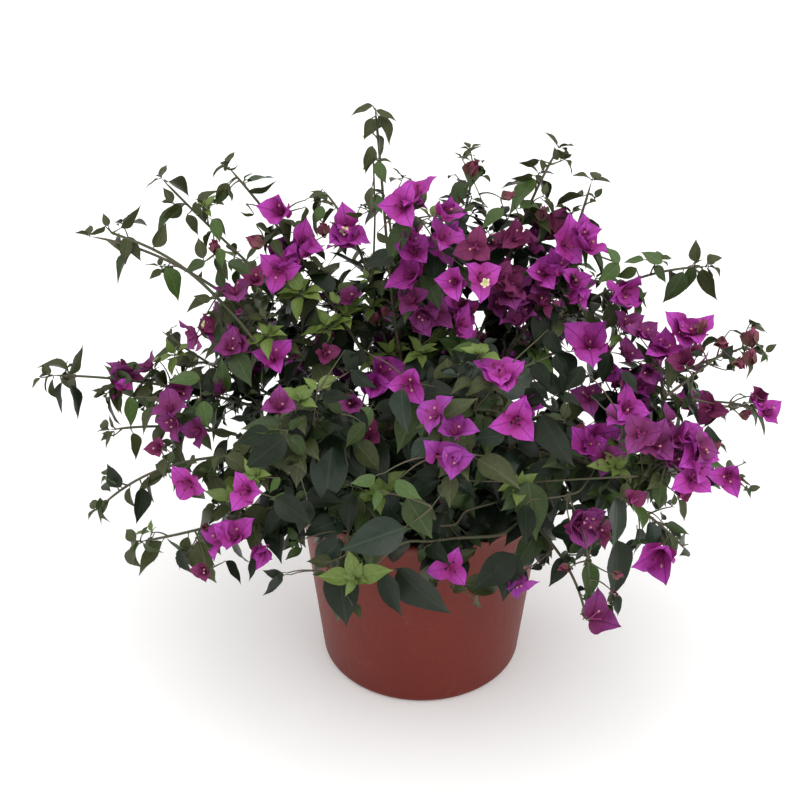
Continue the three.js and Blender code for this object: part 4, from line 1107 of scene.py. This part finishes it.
def blade_skin(name, colours, vein_colour, rib, slope, turns, vein, net, patch, tones, relief,
               **sockets):
    """A material with a midrib, side veins, a net of fine veins and a slow change of tone.

    rib, vein and net are where such a line ends and where it is full, then 0 and its strength.
    slope and turns set the side veins' slant and number, and relief how deep the lines are.
    """
    skin, tree, shader = material(name, **sockets)
    spot = add(tree, "UVMap", uv_map="OFBake")
    flat = add(tree, "SeparateXYZ", [spot]).node.outputs
    x = add(tree, "MapRange", [flat[0], MAP_CORNER, MAP_CORNER + 2 * MAP_HALF_WIDTH, -1, 1])
    y = add(tree, "MapRange", [flat[1], MAP_CORNER, MAP_CORNER + MAP_LENGTH])
    off = add(tree, "Math", [x], operation="ABSOLUTE")
    rise = add(tree, "Math", [off, slope, y], operation="MULTIPLY_ADD")
    along = add(tree, "Math", [rise, turns], operation="MULTIPLY")
    wave = add(tree, "Math", [along, 1.0], operation="PINGPONG")
    midrib = add(tree, "MapRange", [off, *rib])
    side_veins = add(tree, "MapRange", [wave, *vein])
    lines = add(tree, "Math", [midrib, side_veins], operation="MAXIMUM")
    if net:
        cells = add(tree, "TexVoronoi", {"Vector": spot, "Scale": 60}, feature="DISTANCE_TO_EDGE")
        fine_veins = add(tree, "MapRange", [cells, *net])
        lines = add(tree, "Math", [lines, fine_veins], operation="MAXIMUM")
    cloud = add(tree, "TexNoise", {"Vector": spot, "Scale": patch, "Detail": 3})
    tone = add(tree, "MapRange", [cloud, 0.3, 0.7, *tones])
    body = linear(colours[0])[:3]
    # with two colours the blade goes from the first at its foot to the second at its tip; on bracts
    # the darker foot is partly painted shade
    if len(colours) > 1:
        body = add(tree, "Mix", {0: y, 6: linear(colours[0]), 7: linear(colours[1])}, 2,
                   data_type="RGBA")
    blade = add(tree, "VectorMath", {0: body, "Scale": tone}, operation="SCALE")
    colour = add(tree, "Mix", {0: lines, 6: blade, 7: linear(vein_colour)}, 2, data_type="RGBA")
    bump = add(tree, "Bump", {"Height": lines, "Strength": relief[0], "Distance": relief[1]},
               invert=True)
    link(shader, Base_Color=colour, Normal=bump)
    return skin


# Leaf blades: satin, a little waxy. The midrib and side veins are paler and slightly sunk.
for kind, (colour, vein_colour, roughness, shine) in LEAF_KINDS.items():
    leaf_skin = blade_skin(
        kind + "_skin", [colour], vein_colour, rib=(0.09, 0.02, 0, 0.6), slope=-0.34, turns=8.0,
        vein=(0.14, 0.02, 0, 0.25), net=None, patch=14, tones=(0.82, 1.14), relief=(0.35, 0.0005),
        Roughness=roughness, IOR=1.45, Specular_IOR_Level=shine)
    piece = mesh_piece(kind, blades(leaves[kind], LEAF_OUTLINE, LEAF_HALF_WIDTH, LEAF_WAVE),
                       leaf_skin)
    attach(piece, "root")

# Leaf stalks: thin, soft and a little bent, of the same green rind as the shoots. One grows from
# the stem or twig to each leaf and carries it.
STALK_RADIUS = 0.5
STALK_BOW = 0.5
STALK_SIDES = 4
part = np.linspace(0, 1, 3)
stalk_paths = straight(stalks, part) + UP * STALK_BOW * (part * (1 - part))[:, None] * 4
leaf_stalks = mesh_piece("leaf_stalks", tubes(
    stalk_paths, np.full((len(stalks), 3), STALK_RADIUS), STALK_SIDES), shoot_rind)
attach(leaf_stalks, "root")

# Bracts: three papery, pointed bracts at the end of each flowering twig, open like a lantern,
# 2.5 to 4 cm long and veined. Blooms of middle width are two small whorls side by side, and the
# wider ones one large whorl. Fresh ones are vivid magenta-purple, and old ones duller. The darker
# magenta kind is the fresh colour painted darker: painted shade for bracts in the crown's shadow.
BRACT_HALF_WIDTH = 0.45
BRACT_WAVE = 0.26
BRACT_WIDTHS = (34, 52)
BRACT_OPENINGS = (0.4, 1.1)
BRACT_BENDS = (-0.4, 1.2)
BRACT_FOLDS = (0.1, 0.45)
BRACT_LENGTHS = (0.85, 1.08)
BRACT_SHARE_OF_WIDTH = 0.44
BRACT_LEAST_LENGTH = 9
TWO_WHORLS = (37, 49)
TWO_WHORLS_SHRINK = 0.96
WHORL_SPREAD = 0.32
WHORL_OUTWARD = 0.5
WHORL_RISE = 0.2
WHORL_STRAY = 0.75
WHORL_TO_EYE = 0.35
WHORL_ALONG = 0.45
BUD_WIDTHS = (14, 22)
BUD_LENGTH = 0.8
BUD_OPENINGS = (0.16, 0.3)
BUD_BEND = -0.25
BUD_FOLD = 0.6
TUBE_LENGTH = 0.48
OPEN_FLOWERS = 0.012
RIPE_TUBES = 0.3
FIRST_BRACT_SEED = 5200
SHOWN_FLOWERS = [(479, 273)]  # the sprigs whose one open flower shows in the photograph
BRACT_OUTLINE = np.array([0.14, 0.52, 0.8, 0.95, 1.0, 0.98, 0.87, 0.66, 0.38, 0.15, 0.01])
BRACT_KINDS = {
    # colour of the bract at its foot, darker there partly as painted shade, at its tip, and of its
    # veins
    "fresh_bracts": ("A22C78", "C04EC2", "822678"),
    "violet_bracts": ("96307A", "A44CB0", "7A2C80"),
    # the fresh magenta painted darker: painted shade for bracts in the crown's shadow
    "full_bracts": ("72284C", "92408C", "5E2250"),
    "old_bracts": ("74294A", "843668", "582244"),
    "folded_buds": ("5C5436", "963E64", "9C5A72"),
}
# a share of the rule-grown bracts takes the darker, shade-painted magenta
BRACT_SHARES = (0.45, 0.45, 0.75, 0.88, 1)
bracts = {kind: [] for kind in BRACT_KINDS}
tubes_in_bloom, ripe_tubes, open_flowers, flower_stalks = [], [], [], []

for number, twig in enumerate(twigs):
    if twig["bears"] in ("leaves", "bright_leaves", "shown_leaf"):
        continue
    draw = draws_from(FIRST_BRACT_SEED + 7 * number)
    for _ in range(3):
        draw()  # the first draws of seeds that lie close are alike
    roll, is_shown, centre = draw(), "width" in twig, twig["end"]
    kind = twig["bears"] if is_shown else dealt(BRACT_KINDS, BRACT_SHARES, roll)
    is_bud = kind == "folded_buds"
    width = twig["width"] if is_shown else draw(*(BUD_WIDTHS if is_bud else BRACT_WIDTHS))
    whorls = 2 if TWO_WHORLS[0] < width < TWO_WHORLS[1] and not is_bud else 1
    full = width * BUD_LENGTH if is_bud else (width * BRACT_SHARE_OF_WIDTH + BRACT_LEAST_LENGTH) * (
        TWO_WHORLS_SHRINK if whorls == 2 else 1)
    for k in range(3 * whorls):
        if k % 3 == 0:
            stray = unit(np.array([draw() - 0.5, draw() - 0.5, draw() - 0.5]))
            way = unit(unit(twig["end"] - CROWN_CENTRE) * WHORL_OUTWARD + UP * WHORL_RISE
                       + stray * WHORL_STRAY
                       - view_forward * (WHORL_TO_EYE if is_shown and not is_bud else 0)
                       + twig["way"] * (WHORL_ALONG if is_shown else 0))
            opening = draw(*(BUD_OPENINGS if is_bud else BRACT_OPENINGS))
        if k == 3:
            centre = centre + sideways(way, draw() * FULL_TURN) * width * WHORL_SPREAD
            flower_stalks.append((twig["end"], centre))
        radial = sideways(way, twig["turn"] + k * 2 * math.pi / 3)
        axis = unit(way * math.cos(opening) + radial * math.sin(opening))
        length = full * draw(*BRACT_LENGTHS)
        bend = BUD_BEND if is_bud else draw(*BRACT_BENDS)
        foot = centre + radial * 0.8
        row = (foot, axis, np.cross(way, radial), length, bend,
               draw() * FULL_TURN, BUD_FOLD if is_bud else draw(*BRACT_FOLDS))
        tip = foot + axis * length
        if not fits(tip) or not is_shown and (is_open(tip) or is_open((foot + tip) / 2)):
            continue
        bracts[kind].append(row)
        if not is_bud:
            inner = unit(way + radial * math.tan(opening * 0.5))
            tubes_in_bloom.append((centre, centre + inner * length * TUBE_LENGTH))
            luck = draw()
            if luck < OPEN_FLOWERS or k == 1 and twig.get("spot") in SHOWN_FLOWERS:
                open_flowers.append((tubes_in_bloom[-1][1], inner))
            elif luck < RIPE_TUBES:
                ripe_tubes.append(tubes_in_bloom[-1])

# Bract skin: dry, papery and thin, with a net of darker veins off the midrib. Its colour changes
# from foot to tip: the darker foot is partly the bract's own colour and partly painted shade where
# the bracts close in.
for kind, (foot_colour_with_shade, tip_colour, vein_colour) in BRACT_KINDS.items():
    bract_skin = blade_skin(
        kind + "_skin", [foot_colour_with_shade, tip_colour], vein_colour, rib=(0.07, 0.02, 0, 0.8),
        slope=-0.5, turns=11.0, vein=(0.16, 0.03, 0, 0.4), net=(0.1, 0.02, 0, 0.25), patch=9,
        tones=(0.84, 1.14), relief=(0.4, 0.0004), Roughness=0.6, IOR=1.4, Specular_IOR_Level=0.25)
    piece = mesh_piece(kind, blades(bracts[kind], BRACT_OUTLINE, BRACT_HALF_WIDTH, BRACT_WAVE),
                       bract_skin)
    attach(piece, "root")

# Flowers: one slim tube to each bract, dark magenta, downy and ribbed. Where a twig bears a
# second whorl, a stalk of the same skin carries it.
FLOWER_RADII = np.array([0.8, 1.3, 1.2, 0.9, 1.1, 1.4])
FLOWER_SIDES = 6


def downy_skin(name, scale, dark, light, **sockets):
    """A material of fine dark and light specks, like short hairs."""
    skin, tree, shader = material(name, **sockets)
    place = add(tree, "TexCoord", output="Object")
    down = add(tree, "TexNoise", {"Vector": place, "Scale": scale, "Detail": 3})
    link(shader, Base_Color=add(
        tree, "Mix", {0: down, 6: linear(dark), 7: linear(light)}, 2, data_type="RGBA"))
    return skin


# Flower skin: dull magenta down, darker between its hairs, with hardly any highlight.
flower_skin = downy_skin("flower_skin", 700, "7A1F5E", "A8487F", Roughness=0.7, IOR=1.4)
part = np.linspace(0, 1, 6)
flower_tubes = mesh_piece("flower_tubes", joined(
    tubes(straight(tubes_in_bloom, part), np.tile(FLOWER_RADII, (len(tubes_in_bloom), 1)),
          FLOWER_SIDES),
    tubes(straight(flower_stalks, part), np.full((len(flower_stalks), 6), STALK_RADIUS),
          FLOWER_SIDES)),
    flower_skin)
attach(flower_tubes, "root")

# Flower mouths: the tips of the riper tubes, in which the petals are still folded. Each is soft
# and swollen and grows on from its tube.
MOUTH_RADII = np.array([1.1, 1.2, 0.6, 0.15])

# Mouth skin: the same down, paler, from dusky pink to salmon.
mouth_skin = downy_skin("mouth_skin", 500, "A8506A", "E0B0A0", Roughness=0.65, IOR=1.4)
flower_mouths = mesh_piece("flower_mouths", tubes(
    straight(ripe_tubes, np.linspace(1, 1.2, 4)), np.tile(MOUTH_RADII, (len(ripe_tubes), 1)),
    FLOWER_SIDES),
    mouth_skin)
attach(flower_mouths, "root")

# Open flowers: small stars of five soft petals, each spread at the mouth of a tube that has
# opened. The photograph shows few of them.
PETAL_OUTLINE = np.interp(BLADE_ROWS, [0, 0.3, 0.6, 0.85, 1], [0.5, 0.9, 1.0, 0.75, 0.2])
PETAL_LENGTH = 5.0
PETAL_HALF_WIDTH = 0.4
PETAL_WAVE = 0.05
PETAL_RISE = 0.35
PETAL_BEND = 0.4
PETAL_FOLD = 0.3
petals = []
for centre, way in open_flowers:
    for k in range(5):
        radial = sideways(way, k * 2 * math.pi / 5)
        petals.append((centre, unit(radial + way * PETAL_RISE), np.cross(way, radial),
                       PETAL_LENGTH, PETAL_BEND, k, PETAL_FOLD))

# Petal skin: thin and matte, yellowish at the throat and cream at the tips.
petal_skin, tree, shader = material("petal_skin", Roughness=0.6, IOR=1.4)
flat = add(tree, "SeparateXYZ", [add(tree, "UVMap", uv_map="OFBake")], "Y")
y = add(tree, "MapRange", [flat, MAP_CORNER, MAP_CORNER + MAP_LENGTH])
colour = add(tree, "Mix", {0: y, 6: linear("C9C07A"), 7: linear("F3E9C6")}, 2, data_type="RGBA")
link(shader, Base_Color=colour)
cream_petals = mesh_piece(
    "cream_petals", blades(petals, PETAL_OUTLINE, PETAL_HALF_WIDTH, PETAL_WAVE), petal_skin)
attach(cream_petals, "root")
